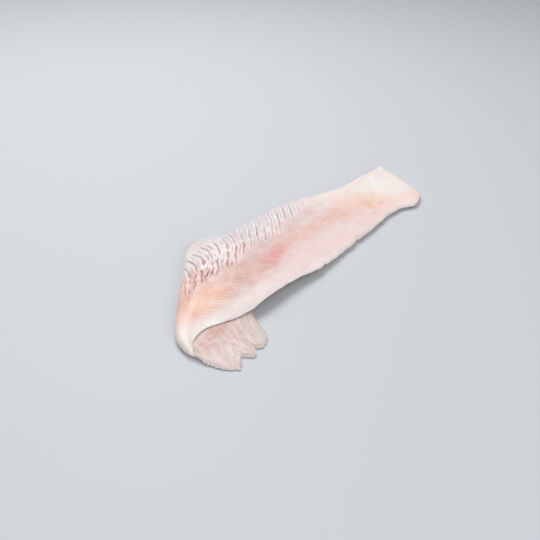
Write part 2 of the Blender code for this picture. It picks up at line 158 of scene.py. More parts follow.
# %% Thickness of the flesh
LOIN_THICKNESS = 10.5
TAIL_THICKNESS = 5.8
FLAP_LOIN_THICKNESS = 5.2
FLAP_END_THICKNESS = 2.6
FOLD_STRETCH = 0.82  # the body's flesh thins to this share as it comes up to the fold
LOIN_CENTRE = 0.3  # where across the ribbon the loin is thickest
BACK_SHARE = 0.86  # thickness at the back edge as a share of the loin's
BACK_SHARE_FOLD = 0.66  # the same beside the fold
BELLY_SHARE_FOLD = 0.16  # thickness at the belly edge as a share of the loin's, from here on
BELLY_SHARE_HEAD = 0.34
BELLY_SHARE_TAIL = 0.62
BELLY_SHARE_FLAP = 0.66
BELLY_SHARE_FLAP_END = 0.75
BELLY_FALL = 1.4  # the flesh thins towards the belly along this power of the distance


def cross_section(across, back_share, belly_share):
    """Thickness across the ribbon as a share of the loin's: thick loin, thin belly."""
    past_loin = np.clip((across - LOIN_CENTRE) / (1.0 - LOIN_CENTRE), 0.0, 1.0)
    to_belly = mix(1.0, belly_share, past_loin ** BELLY_FALL)
    to_back = mix(1.0, back_share, np.clip(1.0 - across / LOIN_CENTRE, 0.0, 1.0) ** 2)
    return np.where(across > LOIN_CENTRE, to_belly, to_back)


def body_thickness(toward_tail, across):
    loin = mix(LOIN_THICKNESS, TAIL_THICKNESS, smooth(0.35, 1.0, toward_tail))
    past_fold = smooth(0.0, 0.2, toward_tail)
    loin = loin * mix(FOLD_STRETCH, 1.0, past_fold)
    back = mix(BACK_SHARE_FOLD, BACK_SHARE, past_fold)
    belly = mix(BELLY_SHARE_FOLD, BELLY_SHARE_HEAD, past_fold)
    belly = mix(belly, BELLY_SHARE_TAIL, smooth(0.3, 0.9, toward_tail))
    return loin * cross_section(across, back, belly)


def flap_thickness(toward_end, across):
    thinning = smooth(0.0, 1.0, toward_end)
    loin = mix(FLAP_LOIN_THICKNESS, FLAP_END_THICKNESS, thinning)
    belly = mix(BELLY_SHARE_FLAP, BELLY_SHARE_FLAP_END, thinning)
    return loin * cross_section(across, BACK_SHARE_FOLD, belly)


for place, share in (("fold", 0.0), ("middle", 0.5), ("tail", 1.0)):
    print("loin at the %s: %.1f mm" % (place, body_thickness(np.array(share), np.array(LOIN_CENTRE))))

# %% [markdown]
# ## The fold and what it props up
# Where the flesh turns over it makes a fat soft roll, never a sharp crease. In section the roll is
# half an ellipse as high as the two layers and the bit of air between them, standing on a slanting
# crease line. The flap under the body props up its head half, and towards the tail the body sinks
# down again until it lies flat.

# %% The crease line, and the height of the body's underside
LAYER_GAP = 0.6  # air between the folded layers
FOLD_REACH = 1.35  # the fold stands out by this share of half its height
FOLD_POCKET = 0.4  # depth of the pocket left inside the fold
FOLD_EASING = 0.045  # the fold is eased into the body over this share of the rows
BELLY_EASED = 0.85  # the easing ends between here across and the belly rim
PROP_HEIGHT = (5.4, 7.2)  # each pair is at the belly edge and at the back edge
PROP_FADE_START = (14.0, -6.0)
PROP_FADE_LENGTH = (78.0, 28.0)
PROP_EDGES_Y = (-19.6, 45.4)
PROP_RISE = 0.4  # share of the flap's width over which the body rises to that height
NARROWEST_FLAP = 6.0


def fold_frame(across):
    """The fold: its crease line on plan, the inward direction, its reach and half its height."""
    outline = curve(FOLD_OUTLINE, across)
    ahead = curve(FOLD_OUTLINE, across + 0.01) - curve(FOLD_OUTLINE, across - 0.01)
    ahead = ahead / np.linalg.norm(ahead, axis=-1, keepdims=True)
    inward = np.stack([-ahead[..., 1], ahead[..., 0]], axis=-1)
    layers = flap_thickness(0.0, across) + LAYER_GAP + body_thickness(0.0, across)
    half_height = layers / 2.0
    reach = FOLD_REACH * half_height
    return outline + inward * reach[..., None], inward, reach, half_height


def crease_ends():
    crease = fold_frame(np.array([0.0, 1.0]))[0]
    return [tuple(crease[0])], [tuple(crease[1])]


def prop_height(x, y):
    """Height of the body's underside over the surface that the fillet lies on."""
    share = np.linspace(0.0, 1.0, 200)
    crease = fold_frame(share)[0][::-1]
    flap_back = curve(crease_ends()[0] + FLAP_BACK_EDGE, share)[::-1]
    on_crease = (flap_thickness(0.0, share) + LAYER_GAP)[::-1]
    crease_x = np.interp(y, crease[:, 1], crease[:, 0])
    back_x = np.interp(y, flap_back[:, 1], flap_back[:, 0])
    toward_back = smooth(*PROP_EDGES_Y, y)
    over_flap = (x - crease_x) / np.maximum(back_x - crease_x, NARROWEST_FLAP)
    by_crease = np.interp(y, crease[:, 1], on_crease)
    rising = 1.0 - np.clip(1.0 - over_flap / PROP_RISE, 0.0, 1.0) ** 2
    height = mix(by_crease, mix(*PROP_HEIGHT, toward_back), rising)
    past_flap = x - back_x - mix(*PROP_FADE_START, toward_back)
    return height * (1.0 - smooth(0.0, 1.0, past_flap / mix(*PROP_FADE_LENGTH, toward_back)))


heights = 2.0 * fold_frame(np.array([0.0, 0.5, 1.0]))[3]
print("height of the fold at the back, middle and belly: %.1f %.1f %.1f mm" % tuple(heights))

# %% [markdown]
# ## Body, fold and flap
# Each of the three gives a "sheet": for every point its place on the skin side, the direction out
# of the skin, how thick the flesh is there, and where it would lie if the fillet were unfolded. The
# unfolded place matters for the look, because flakes, fibres and tints belong to the flesh and go
# round the fold with it.

# %% The body lies flat and the fold stands on the crease
def gathered(plan, z, out_plan, out_z, flesh, unrolled):
    """One row for each vertex: place on the skin side, way out of it, thickness, place unfolded."""
    columns = [plan, z[..., None], out_plan, out_z[..., None], flesh[..., None], unrolled]
    return np.concatenate(columns, axis=-1)


def body_sheet(toward_tail, across):
    """Straight lines from edge to edge, bowed like the crease where they start beside it."""
    back_start, belly_start = crease_ends()
    back, belly = curve(back_start + BACK_EDGE, toward_tail), curve(belly_start + BELLY_EDGE, toward_tail)
    bow = fold_frame(across)[0] - mix(np.array(back_start[0]), np.array(belly_start[0]), across[..., None])
    plan = mix(back, belly, across[..., None]) + bow * (1.0 - smooth(0.0, 0.3, toward_tail))[..., None]
    flesh = body_thickness(toward_tail, across)
    on_crease = flap_thickness(0.0, across) + LAYER_GAP
    prop = mix(on_crease, prop_height(plan[..., 0], plan[..., 1]), smooth(0.0, 0.05, toward_tail))
    return gathered(plan, prop + flesh, 0.0 * plan, np.ones_like(prop), flesh, plan)


def slipped_crease(turned_under, across):
    slip = turned_under * np.clip(5.0 * across - 4.0, 0.0, 1.0) ** 2
    return fold_frame(across)[0] + slip[..., None] * np.array(BELLY_SLIP)


def fold_sheet(turn, across):
    """Half ellipses that stand on the crease line: turn is 0 under the fold and 1 on top of it."""
    _, inward, reach, half_height = fold_frame(across)
    crease = slipped_crease(1.0 - turn, across)
    angle = math.pi * (1.0 - turn)
    plan = crease - inward * (reach * np.sin(angle))[..., None]
    z = half_height * (1.0 + np.cos(angle))
    flap, body = flap_thickness(0.0, across), body_thickness(0.0, across)
    flesh = mix(flap, body, turn)
    bone_z = flap + LAYER_GAP * turn
    arc = 0.5 * (reach + half_height) * angle
    unrolled = crease - inward * arc[..., None]
    out_plan = -inward * (np.sin(angle) * (reach - FOLD_POCKET) / flesh)[..., None]
    return gathered(plan, z, out_plan, (z - bone_z) / flesh, flesh, unrolled)


# %% [markdown]
# ## The ragged flap
# The head end was torn from the collar, so it ends in three lobes with notches between them, and
# creases run up from the notches. A low curved ridge stands beside the body's belly edge, where the
# flap bends. The flap thins to two or three millimetres at its end.

# %% Lobes, creases and the ridge
# Each lobe: from and to across, then how far it stands out at its back side, middle and belly side.
LOBES = [(-0.01, 0.405, -3.0, 1.3, -0.9), (0.405, 0.69, -7.5, 0.9, -4.4), (0.69, 2.2, -4.4, 0.6, 0.6)]
NOTCHES = (0.4, 0.69)
CREASE_DEPTH = 0.55  # the creases that run up the flap from its notches
CREASE_HALF_WIDTH = 0.035
CREASE_DRIFT = 0.3
RIDGE_CENTRE = (-119.8, -43.1)
RIDGE_RADIUS = 15.3
RIDGE_HEIGHT = 1.2
RIDGE_HALF_WIDTH = 3.2
RIDGE_START_Y = (-50.0, -44.0)  # the ridge rises between these
RELIEF_END_Y = (-32.0, -24.0)  # ridge and creases fade between these, before the belly edge
FLAP_SLOPE_Y = (-35.0, -21.0)  # the flap slopes up between these to fill the room under the body


def end_line(across):
    """The ragged head end: a line from corner to corner with lobes between notches."""
    back, belly = np.array(FLAP_BACK_EDGE[-1], float), np.array(FLAP_BELLY_EDGE[-1], float)
    outward = np.zeros_like(across)
    for start, end, back_side, lobe_middle, belly_side in LOBES:
        from_middle = 2.0 * (across - start) / (end - start) - 1.0
        side = np.where(from_middle < 0.0, back_side, belly_side)
        outward = np.where(across >= start, mix(lobe_middle, side, np.abs(from_middle) ** 3), outward)
    way = mix(back - FLAP_BACK_EDGE[-2], belly - FLAP_BELLY_EDGE[-2], across[..., None])
    way = way / np.linalg.norm(way, axis=-1, keepdims=True)
    return mix(back, belly, across[..., None]) + outward[..., None] * way


def flap_plan(toward_end, across):
    """Lines from edge to edge again, from the crease line to the ragged end."""
    crease = slipped_crease(np.ones_like(across), across)
    back_start = crease_ends()[0]
    belly_start = [tuple(slipped_crease(np.ones(1), np.ones(1))[0])]
    back = curve(back_start + FLAP_BACK_EDGE, toward_end)
    belly = curve(belly_start + FLAP_BELLY_EDGE, toward_end)
    share = across[..., None]
    start_bow = crease - mix(np.array(back_start[0]), np.array(belly_start[0]), share)
    end_bow = end_line(across) - mix(np.array(FLAP_BACK_EDGE[-1]), np.array(FLAP_BELLY_EDGE[-1]), share)
    start_bow = start_bow * (1.0 - smooth(0.0, 0.6, toward_end))[..., None]
    end_bow = end_bow * smooth(0.6, 1.0, toward_end)[..., None]
    return crease, mix(back, belly, share) + start_bow + end_bow


def flap_relief(x, y, toward_end, across):
    """The ridge on the flap's upper side, and the creases that run up from its notches."""
    from_ridge = np.hypot(x - RIDGE_CENTRE[0], y - RIDGE_CENTRE[1]) - RIDGE_RADIUS
    relief = RIDGE_HEIGHT * hump(from_ridge, RIDGE_HALF_WIDTH) * smooth(*RIDGE_START_Y, y)
    for notch in NOTCHES:
        from_crease = across - notch - CREASE_DRIFT * (1.0 - toward_end)
        crease = hump(from_crease, CREASE_HALF_WIDTH) * smooth(0.7, 1.0, toward_end)
        relief = relief - CREASE_DEPTH * crease
    return relief * (1.0 - smooth(*RELIEF_END_Y, y))


def softly_under(value, ceiling, softness=0.35):
    """The lower of the two, with the corner between them rounded."""
    return -softness * np.logaddexp(-value / softness, -ceiling / softness)


def flap_sheet(toward_end, across):
    """The flap, lying skin side down and held under the body."""
    crease, plan = flap_plan(toward_end, across)
    x, y = plan[..., 0], plan[..., 1]
    relief = flap_relief(x, y, toward_end, across) * smooth(0.0, 0.15, toward_end)
    flesh = flap_thickness(toward_end, across) + relief
    room = prop_height(x, y) - LAYER_GAP
    filled = smooth(*FLAP_SLOPE_Y, y) * smooth(0.05, 0.4, toward_end)
    flesh = mix(flesh, mix(softly_under(flesh, room), room, filled), smooth(0.0, 0.2, toward_end))
    _, inward, reach, half_height = fold_frame(across)
    folded_length = 0.5 * math.pi * (reach + half_height) + np.linalg.norm(plan - crease, axis=-1)
    unrolled = crease - inward * folded_length[..., None]
    return gathered(plan, 0.0 * x, 0.0 * plan, -np.ones_like(x), flesh, unrolled)


print("the lobes reach", [lobe[3] for lobe in LOBES], "mm past the line of the head end")

# %% [markdown]
# ## One sheet for the whole ribbon
# The share "along" decides which of the three a point belongs to. Just at the top of the fold the
# sheet is averaged with its neighbours, because soft flesh doesn't change its bend all at once.

# %% Flap, fold and body joined
FLAP_ROWS = 0.22  # up to here along, the ribbon is the flap
FOLD_ROWS = 0.10  # and for this much more it is the fold
FOLD_TOP = FLAP_ROWS + FOLD_ROWS


def shares(along):
    """Where a point is on the flap, on the fold and on the body."""
    toward_end = np.clip(1.0 - along / FLAP_ROWS, 0.0, 1.0)
    turn = np.clip((along - FLAP_ROWS) / FOLD_ROWS, 0.0, 1.0)
    toward_tail = np.clip((along - FOLD_TOP) / (1.0 - FOLD_TOP), 0.0, 1.0)
    return toward_end, turn, toward_tail


def raw_sheet(along, across):
    """The sheet that holds each vertex: flap, fold or body."""
    toward_end, turn, toward_tail = shares(along)
    in_flap, in_fold = (along < FLAP_ROWS)[:, None], (along < FOLD_TOP)[:, None]
    folded = np.where(in_flap, flap_sheet(toward_end, across), fold_sheet(turn, across))
    return np.where(in_fold, folded, body_sheet(toward_tail, across))


def eased_sheet(along, across):
    """The sheet averaged along its rows about the top of the fold, where it would show a crease."""
    rising = smooth(FOLD_TOP - 0.6 * FOLD_ROWS, FOLD_TOP, along)
    falling = 1.0 - smooth(FOLD_TOP, FOLD_TOP + 2.5 * FOLD_EASING, along)
    rising = rising * (1.0 - smooth(BELLY_EASED, 1.0, across))
    steps = np.linspace(-FOLD_EASING, FOLD_EASING, 7)
    return sum(raw_sheet(along + step * rising * falling, across) for step in steps) / len(steps)


# %% [markdown]
# ## Rims
# A knife and a pulled-off skin leave the rims soft, not square. Above the rim the flesh rounds over
# along a quarter circle, large at the thick back edge and small at the belly and the cuts, and it
# rounds again a little below. Beside the fold the thin belly rim lies pressed onto the flap. There
# the edge sits at the very bottom of the flesh, and the skin side slopes down to it.

# %% How the rims round over
BACK_ROUNDING = 6.5
BACK_ROUNDING_THIN = 3.5
BELLY_ROUNDING = 2.2
CUT_ROUNDING = 1.8
FLAP_ROUNDING = 1.4
FOLD_BELLY_ROUNDING = 2.6
ROUNDING_BELOW = 0.6  # radius under the rim as a share of the radius over it
BELLY_UNDERCUT = 5.5  # the belly's underside draws up to its thin rim from this far in
RIM_DEPTH = 0.58  # depth of the rim under the skin side as a share of the thickness
RIM_DEPTH_BELLY = 0.3
RIM_DEPTH_FLAP = 0.25
FLAP_EDGE_SLOPE = 2.6  # the flap's upper side slopes down to its thin edges from this far in
RIM_BAND = 0.07  # half the height of the rim's edge as a share of the thickness
LYING_RIM_DEPTH = 0.97  # depth of the belly rim where it is pressed onto the flap
CREASE_ROUNDING = 5.0  # where the fold's crease runs out the rim thins softly to nothing
FOLD_WIDTH = 68.0  # the ribbon's rough widths and lengths, which the distances from a rim rest on
TAIL_WIDTH = 49.0
FLAP_END_WIDTH = 29.0
BODY_LENGTH = 200.0
FLAP_LENGTH = 75.0


def rim_distances(along, across):
    """How far in each point is from the back rim, the belly rim and the cut or torn end."""
    toward_end, _, toward_tail = shares(along)
    in_flap = along < FLAP_ROWS
    flap_width = mix(FOLD_WIDTH, FLAP_END_WIDTH, toward_end)
    body_width = mix(FOLD_WIDTH, TAIL_WIDTH, toward_tail)
    width = np.where(in_flap, flap_width, body_width)
    from_cut = np.where(in_flap, (1.0 - toward_end) * FLAP_LENGTH, (1.0 - toward_tail) * BODY_LENGTH)
    return across * width, (1.0 - across) * width, from_cut


def quarter_round(rims):
    """0 on any of the rims, rising to 1 inside it along a quarter circle of the size given."""
    inset = sum(np.clip(1.0 - distance / size, 0.0, 1.0) ** 3 for distance, size in rims)
    return np.sqrt(1.0 - np.minimum(inset, 1.0) ** (2.0 / 3.0))


def rim_profile(along, across):
    """The quarter rounds above and below the rim, and how deep the rim lies under the skin."""
    toward_end, _, toward_tail = shares(along)
    from_back, from_belly, from_cut = rim_distances(along, across)
    on_flap = smooth(0.0, 0.3, toward_end)
    back_size = mix(BACK_ROUNDING, BACK_ROUNDING_THIN, smooth(0.5, 1.0, toward_tail))
    back_size = mix(back_size, FLAP_ROUNDING, on_flap)
    cut_size = mix(CUT_ROUNDING, FLAP_ROUNDING, on_flap)
    undercut = mix(ROUNDING_BELOW * BELLY_ROUNDING, BELLY_UNDERCUT, smooth(0.0, 0.3, toward_tail))
    by_fold = smooth(0.0, 1.0, along / FLAP_ROWS) * (1.0 - smooth(0.0, 0.15, toward_tail))
    belly_size = mix(BELLY_ROUNDING, FOLD_BELLY_ROUNDING, by_fold)
    crease_end = smooth(0.95, 1.2, along / FLAP_ROWS) * (1.0 - smooth(0.0, 0.1, toward_tail))
    belly_size = mix(belly_size, CREASE_ROUNDING, crease_end)
    above = quarter_round([(from_back, back_size), (from_belly, belly_size), (from_cut, cut_size)])
    back_below = mix(ROUNDING_BELOW * back_size, FLAP_EDGE_SLOPE, on_flap)
    undercut = mix(undercut, FLAP_EDGE_SLOPE, on_flap)
    cut_below = mix(ROUNDING_BELOW * cut_size, FLAP_EDGE_SLOPE, on_flap)
    below = quarter_round([(from_back, back_below), (from_belly, undercut), (from_cut, cut_below)])
    over_flap = 1.0 - smooth(0.14, 0.26, toward_tail)
    near_fold = smooth(0.5, 1.0, along / FLAP_ROWS) * over_flap
    below = mix(below, 1.0, near_fold * smooth(0.4, 0.6, across))
    rim_depth = mix(RIM_DEPTH, RIM_DEPTH_BELLY, smooth(0.55, 1.0, across))
    rim_depth = mix(rim_depth, RIM_DEPTH_FLAP, on_flap)
    lying = smooth(0.75, 0.95, along / FLAP_ROWS) * over_flap * smooth(0.6, 0.9, across)
    return above, below, mix(rim_depth, LYING_RIM_DEPTH, lying)


test_rims = rim_profile(np.full(2, 0.6), np.array([0.0, 0.5]))
print("the rounding above, at the back rim and in the middle:", test_rims[0])

# %% [markdown]
# ### The thin belly beside the fold
# Beside the fold the belly thins towards its rim more than elsewhere, and the rim hangs down onto
# the flap.

# %% Thinned belly and hanging rim
THIN_BELLY = 2.4  # the belly thins to its rim by up to this much more
THIN_BELLY_START = 0.68  # across the ribbon
THIN_BELLY_WIDTH = 0.32  # from there to the rim
THIN_BELLY_POWER = 1.6
RIM_DROOP = 0.55  # the rim hangs down this far
MORE_DROOP = 0.35  # and this much further about one place along
MORE_DROOP_PLACE = 0.355
MORE_DROOP_HALF_WIDTH = 0.035


def thinned_belly(along, across):
    """How much deeper the skin side lies."""
    by_flap = smooth(0.28, 0.42, along) * (1.0 - smooth(0.46, 0.64, along))
    toward_rim = np.clip((across - THIN_BELLY_START) / THIN_BELLY_WIDTH, 0.0, 1.0)
    return THIN_BELLY * toward_rim ** THIN_BELLY_POWER * by_flap


def hanging_rim(along, across):
    """How much lower the bone side lies."""
    beside_fold = smooth(0.29, 0.33, along) * (1.0 - smooth(0.43, 0.5, along))
    droop = RIM_DROOP + MORE_DROOP * hump(along - MORE_DROOP_PLACE, MORE_DROOP_HALF_WIDTH)
    return droop * beside_fold * smooth(0.8, 0.92, across)


most_droop = hanging_rim(np.array([MORE_DROOP_PLACE]), np.ones(1))[0]
print("the belly rim hangs down by up to %.1f mm" % most_droop)

# %% [markdown]
# ## The flakes gape
# White fish falls apart in flakes, the muscle blocks that swam it. Pulling the skin off drags them
# open along the loin: the lip of each flake lifts, and a thin gap opens beside it. The gaps run in
# a fan, arcs beside the fold and slanting lines further on, nearly 7 mm apart, and they close
# towards the tail. Below a seam along the loin, beside the fold, the flesh is torn into finer
# crumbs. All of it is real relief in the mesh, so it holds from every side and in raking light.

# %% Where the flakes part
FLAKE_PITCH = 6.7
FAN_Y = 25.0  # the flakes are counted along this line
FIRST_GAP_X = -42.7
FAN_X = (-76.0, -40.0)  # between these the fan opens, from arcs to slanting lines
LEAN = (0.34, 0.88)  # how far a gap leans towards the tail as it goes towards the back
BEND = (0.021, 0.004)  # how much it bends back
FAN_STEPS = 14  # steps of trial and correction that find where a gap crosses that line
BELLY_SWEEP = (19.0, 8.0)  # how far the belly's lines sweep to one side: by the fold, beyond it
SWEEP_END_Y = -27.0  # the belly's lines run out towards this line
MIDLINE = [(-140, -4), (-105, -2), (-80, -1), (-55, 0), (-35, 4), (-15, 10), (5, 13.5), (35, 16),
           (70, 16), (110, 12)]


def along_line(points, x):
    """Height of a line through these points, read at x."""
    knots = np.array(points, float)
    return np.interp(x, knots[:, 0], knots[:, 1])


def fan_root(x, y):
    """Where the line between two flakes that passes here crosses the counting line."""
    up = y - FAN_Y
    root = x
    for _ in range(FAN_STEPS):
        opened = np.clip((root - FAN_X[0]) / (FAN_X[1] - FAN_X[0]), 0.0, 1.0)
        crossing = root + mix(*LEAN, opened) * up - mix(*BEND, opened) * up ** 2
        root = root - 0.5 * (crossing - x)
    return root


def flake_count(x, y):
    """Counts the flakes from head to tail: it is a whole number along each gap."""
    midline = along_line(MIDLINE, x)
    room = np.clip((y - SWEEP_END_Y) / (midline - SWEEP_END_Y), 0.04, 1.0)
    sweep = mix(*BELLY_SWEEP, smooth(-105.0, -35.0, x))
    root = fan_root(x + sweep * np.log(room), np.maximum(y, midline))
    wander = 0.10 * noise(x, y, 3, 16.0) + 0.06 * noise(x, y, 31, 5.0)
    return (root - FIRST_GAP_X) / FLAKE_PITCH + wander


test_flakes = flake_count(np.array([-100.0, 120.0]), np.full(2, FAN_Y))
print("flakes from the fold to the tail: %.0f" % np.ptp(test_flakes))

# %% Where the flesh gapes, and its crumbs
LOWEST_GAP = [(-125, 16), (-100, 8), (-80, 7), (-60, 9), (-45, 14), (-30, 18), (-15, 21.5), (0, 27),
              (15, 31), (30, 37), (45, 42), (60, 60)]
HIGHEST_GAP = [(-110, 36), (-85, 39), (-70, 35), (-60, 35), (-50, 44), (-40, 46), (-28, 40),
               (-15, 43), (0, 47)]
GAPE_START_X = (-116.0, -104.0)  # over the fold the gaps open between these
GAPE_END_X = (15.0, 55.0)  # and towards the tail they close between these
CRUMBS_PER_FLAKE = 1.45
CRUMB_HALF_WIDTH = 0.17  # as a share of a crumb
CRACK_HALF_WIDTH = 0.13


def open_gap(count, half_width):
    """1 along each whole number of the count, falling off to both sides."""
    return hump(count - np.round(count), half_width)


def torn_open(x, y):
    """How far the flesh gapes at each point, and where the gaps' upper ends are."""
    lowest = along_line(LOWEST_GAP, x) - 2.2 * noise(x, y, 5, 8.0)
    highest = along_line(HIGHEST_GAP, x) + 3.0 * noise(x, y, 7, 9.0)
    torn = smooth(-1.5, 4.0, y - lowest) * smooth(*GAPE_START_X, x) * (1.0 - smooth(*GAPE_END_X, x))
    past_end = mix(0.05, 0.3, smooth(-70.0, -40.0, x))
    return torn * mix(1.0, past_end, smooth(-2.0, 6.0, y - highest)), highest


def crumbs(x, y, count):
    """Short crooked gaps and cracks, which leave crumbs between them."""
    crooked = CRUMBS_PER_FLAKE * count + 0.34 * noise(x, y, 41, 5.0) + 0.16 * noise(x, y, 42, 2.4)
    crumb = open_gap(crooked, CRUMB_HALF_WIDTH) * np.clip(0.75 + 1.2 * noise(x, y, 45, 4.2), 0.0, 1.3)
    cracks = hump(noise(x - 0.5 * y, 0.8 * y, 43, 3.6), CRACK_HALF_WIDTH)
    return np.maximum(crumb, cracks * np.clip(0.3 + 1.2 * noise(x, y, 44, 5.0), 0.0, 1.0))


test_x = np.linspace(-60.0, 40.0, 400)
print("share of the loin that gapes: %.2f" % torn_open(test_x, np.full(400, 35.0))[0].mean())

# %% [markdown]
# ### One gap, its hairlines and its lips
# A gap is narrow at its upper end and wider below. Halfway between two gaps a hairline shows here
# and there. One lip of a gap stands above the other, and both get a painted highlight. One function
# gives depth, the painted shade of the gaps and the painted highlights of the lips, because the shape
# needs the first and the finish the others.

# %% Gaps, lifted lips and the seam as heights
SEAM = [(-125, 30), (-100, 20), (-85, 18.4), (-75, 18.8), (-65, 20.5), (-55, 22.5), (-40, 25.5),
        (-20, 28.5)]
SEAM_HALF_WIDTH = 1.1
GAP_DEPTH = 1.3
GAP_HALF_WIDTH = 0.075  # as a share of the pitch, like the next one
HAIRLINE_HALF_WIDTH = 0.06
LIP_HIGHLIGHTS = [(0.82, 0.13, 1.0), (0.15, 0.09, 0.7)]  # place and half width as shares of it, and strength of the painted highlight
LIP_HEIGHT = 0.65  # the first lip stands this far above the second
SHALLOWER_X = (-62.0, -30.0)  # between these the gaps fall to half their depth


def gaping(x, y):
    """The depth of the relief, the painted shade of the gaps, and the painted highlights of the lips with
    the white seam.
    """
    torn, highest = torn_open(x, y)
    seam_y = along_line(SEAM, x) + 0.8 * noise(x, y, 6, 7.0)
    seam = hump(y - seam_y, SEAM_HALF_WIDTH) * (1.0 - smooth(-35.0, -18.0, x))
    crumbly = (1.0 - smooth(-0.5, 1.5, y - seam_y)) * (1.0 - smooth(-70.0, -56.0, x))
    count = flake_count(x, y)
    uneven = np.clip(1.05 + 0.7 * noise(x, y, 8, 6.5) + 0.4 * noise(x, y, 9, 2.8), 0.25, 1.6)
    up = np.clip((y - seam_y) / np.maximum(highest - seam_y, 4.0), 0.0, 1.0)
    width = GAP_HALF_WIDTH * mix(1.8, 1.0, up) * (1.0 + 0.45 * noise(x, y, 11, 5.0))
    between = count + 0.5 + 0.12 * noise(x, y, 13, 4.0)
    broken = np.clip(0.45 + 1.1 * noise(x, y, 14, 5.0), 0.0, 1.0)
    crumb = crumbs(x, y, count)
    # tone is the painted shade in the gaps, the hairlines and the crumbs
    tone = np.maximum(open_gap(count, 1.5 * width) * uneven, 0.8 * open_gap(between, 0.1) * broken)
    tone = tone * mix(1.0, 0.72, smooth(-62.0, -42.0, x))
    tone = mix(tone, crumb, crumbly) * (1.0 - 0.75 * seam)
    hairline = 0.35 * open_gap(between, HAIRLINE_HALF_WIDTH) * broken
    gap = np.maximum(open_gap(count, width) * uneven, hairline)
    gap = mix(gap, crumb, crumbly) * (1.0 - 0.75 * seam)
    on = count - np.floor(count)
    # lip is a painted highlight along the lips of the gaps
    lip = np.maximum(*(highlight_strength * hump(on - at, wide) for at, wide, highlight_strength in LIP_HIGHLIGHTS))
    lip = lip * uneven * (1.0 - 0.6 * crumbly)
    deep = GAP_DEPTH * mix(1.0, 0.5, smooth(*SHALLOWER_X, x))
    depth = torn * (deep * gap + LIP_HEIGHT * (1.0 - on) * (1.0 - np.clip(gap, 0.0, 1.0)))
    depth = depth + torn * crumbly * 0.5 * noise(x, y, 47, 2.2)
    depth = depth + torn * 0.18 * noise(x, 0.6 * y, 48, 1.6)
    # the seam is real white flesh; it joins the lips' painted highlights in one mask
    seam = seam * np.clip(0.4 + 0.6 * noise(x, y, 49, 4.0), 0.05, 0.7)
    return depth, np.clip(torn * tone, 0.0, 1.0), np.clip(torn * np.maximum(lip, seam), 0.0, 1.0)


print("deepest gap: %.1f mm" % gaping(test_x, np.full(400, 35.0))[0].max())

# %% [markdown]
# ### Lumps, dents and wrinkles
# Between the gaps the flesh is soft and lumpy rather than flat. The flap has wrinkles and fibres
# as well, which run from the fold to its torn end, so their noise is stretched that way.

# %% Unevenness of the skin side, and wrinkles of the flap
FLAP_WIDTH = 70.0  # rough, to give the wrinkles their size


def unevenness(x, y):
    """Soft lumps and dents of the whole surface, down to the grain of the flesh."""
    lumps = 0.22 * noise(x, y, 21, 19.0) + 0.10 * noise(x + 0.4 * y, y, 22, 6.0)
    grain = 0.035 * noise(x, 2.2 * y, 23, 2.2) + 0.02 * noise(x, y, 24, 1.1)
    return lumps + grain


def flap_wrinkles(along, across):
    """Folds, fibres and lumps of the flap's upper side, in millimetres on the flap."""
    toward_end, _, _ = shares(along)
    down = FLAP_LENGTH * toward_end
    drift = FLAP_WIDTH * (across + 0.12 * noise(30.0 * toward_end, 8.0 * across, 61, 9.0))
    folds = 0.15 * noise(drift, down / 3.2, 62, 4.2)
    fibres = 0.07 * noise(drift, down / 3.5, 63, 1.3)
    lumps = 0.10 * noise(FLAP_WIDTH * across, down, 64, 5.0)
    return (folds + fibres + lumps) * smooth(0.25, 0.6, toward_end)


print("largest lump: %.2f mm" % np.abs(unevenness(test_x, 0.0 * test_x)).max())

# %% [markdown]
# ## Nicked edges
# No edge of the real piece is a clean curve. The back edge is nicked where each gap runs out, the
# belly and tail edges wander, and the torn end of the flap is frayed. The points near an edge are
# moved in or out on plan, and these moves fade away within about four millimetres.

# %% Nicks and wandering of the edges
BACK_NICK = 0.9
NICK_HALF_WIDTH = 0.13  # as a share of the pitch
CRUMBLED = 1.0  # the back edge is crumbled where the gaps run out
BELLY_NOTCHES = [(27.5, 1.1), (-13.0, 0.9), (-27.0, -0.5)]  # x and depth; the last one stands out
NOTCH_HALF_WIDTH = 1.8
EDGE_REACH = 2.0  # half width of the fading, measured in from the edge
BODY_START = (0.02, 0.12)  # the body's edges start to move between these shares toward the tail


def nicks(along, across, x, y):
    """How far each point moves by the nicks and frays of the edges, in x and y."""
    toward_end, _, toward_tail = shares(along)
    at_back, at_belly, at_cut = (hump(inset, EDGE_REACH) for inset in rim_distances(along, across))
    split = smooth(-48.0, -40.0, x) * (1.0 - smooth(22.0, 40.0, x))
    nicked = -BACK_NICK * open_gap(flake_count(x, y), NICK_HALF_WIDTH) * split
    back = nicked + 0.35 * noise(x, 0.0 * x, 51, 2.6)
    crumbs_there = CRUMBLED * noise(x, 0.0 * x, 60, 1.7) * smooth(0.0, 14.0, x)
    back = back + crumbs_there * (1.0 - smooth(48.0, 60.0, x))
    notches = sum(deep * hump(x - at, NOTCH_HALF_WIDTH) for at, deep in BELLY_NOTCHES)
    belly = 0.4 * noise(x, 0.0 * x, 53, 4.5) + notches
    cut = 0.9 * noise(y, 0.0 * y, 55, 5.0) + 0.45 * noise(y, 0.0 * y, 56, 1.8)
    torn = 0.7 * noise(50.0 * across, 0.0 * x, 57, 3.0) + 0.4 * noise(50.0 * across, 0.0 * x, 58, 1.1)
    frayed = smooth(0.5, 0.9, toward_end) * torn
    flap_edges = smooth(0.1, 0.4, toward_end) * 0.5 * noise(70.0 * toward_end, across, 59, 2.8)
    move_x = np.where(along > FOLD_TOP, cut * at_cut, flap_edges * (at_back + at_belly))
    in_body = smooth(*BODY_START, toward_tail)
    return move_x, in_body * (back * at_back + belly * at_belly) + frayed * at_cut


# %% [markdown]
# ### The cut tail end
# The cut isn't straight. It swells out towards its rounded belly corner, and the belly edge swells
# out beside that corner. The back corner stands up a little. These reach further in than the nicks.

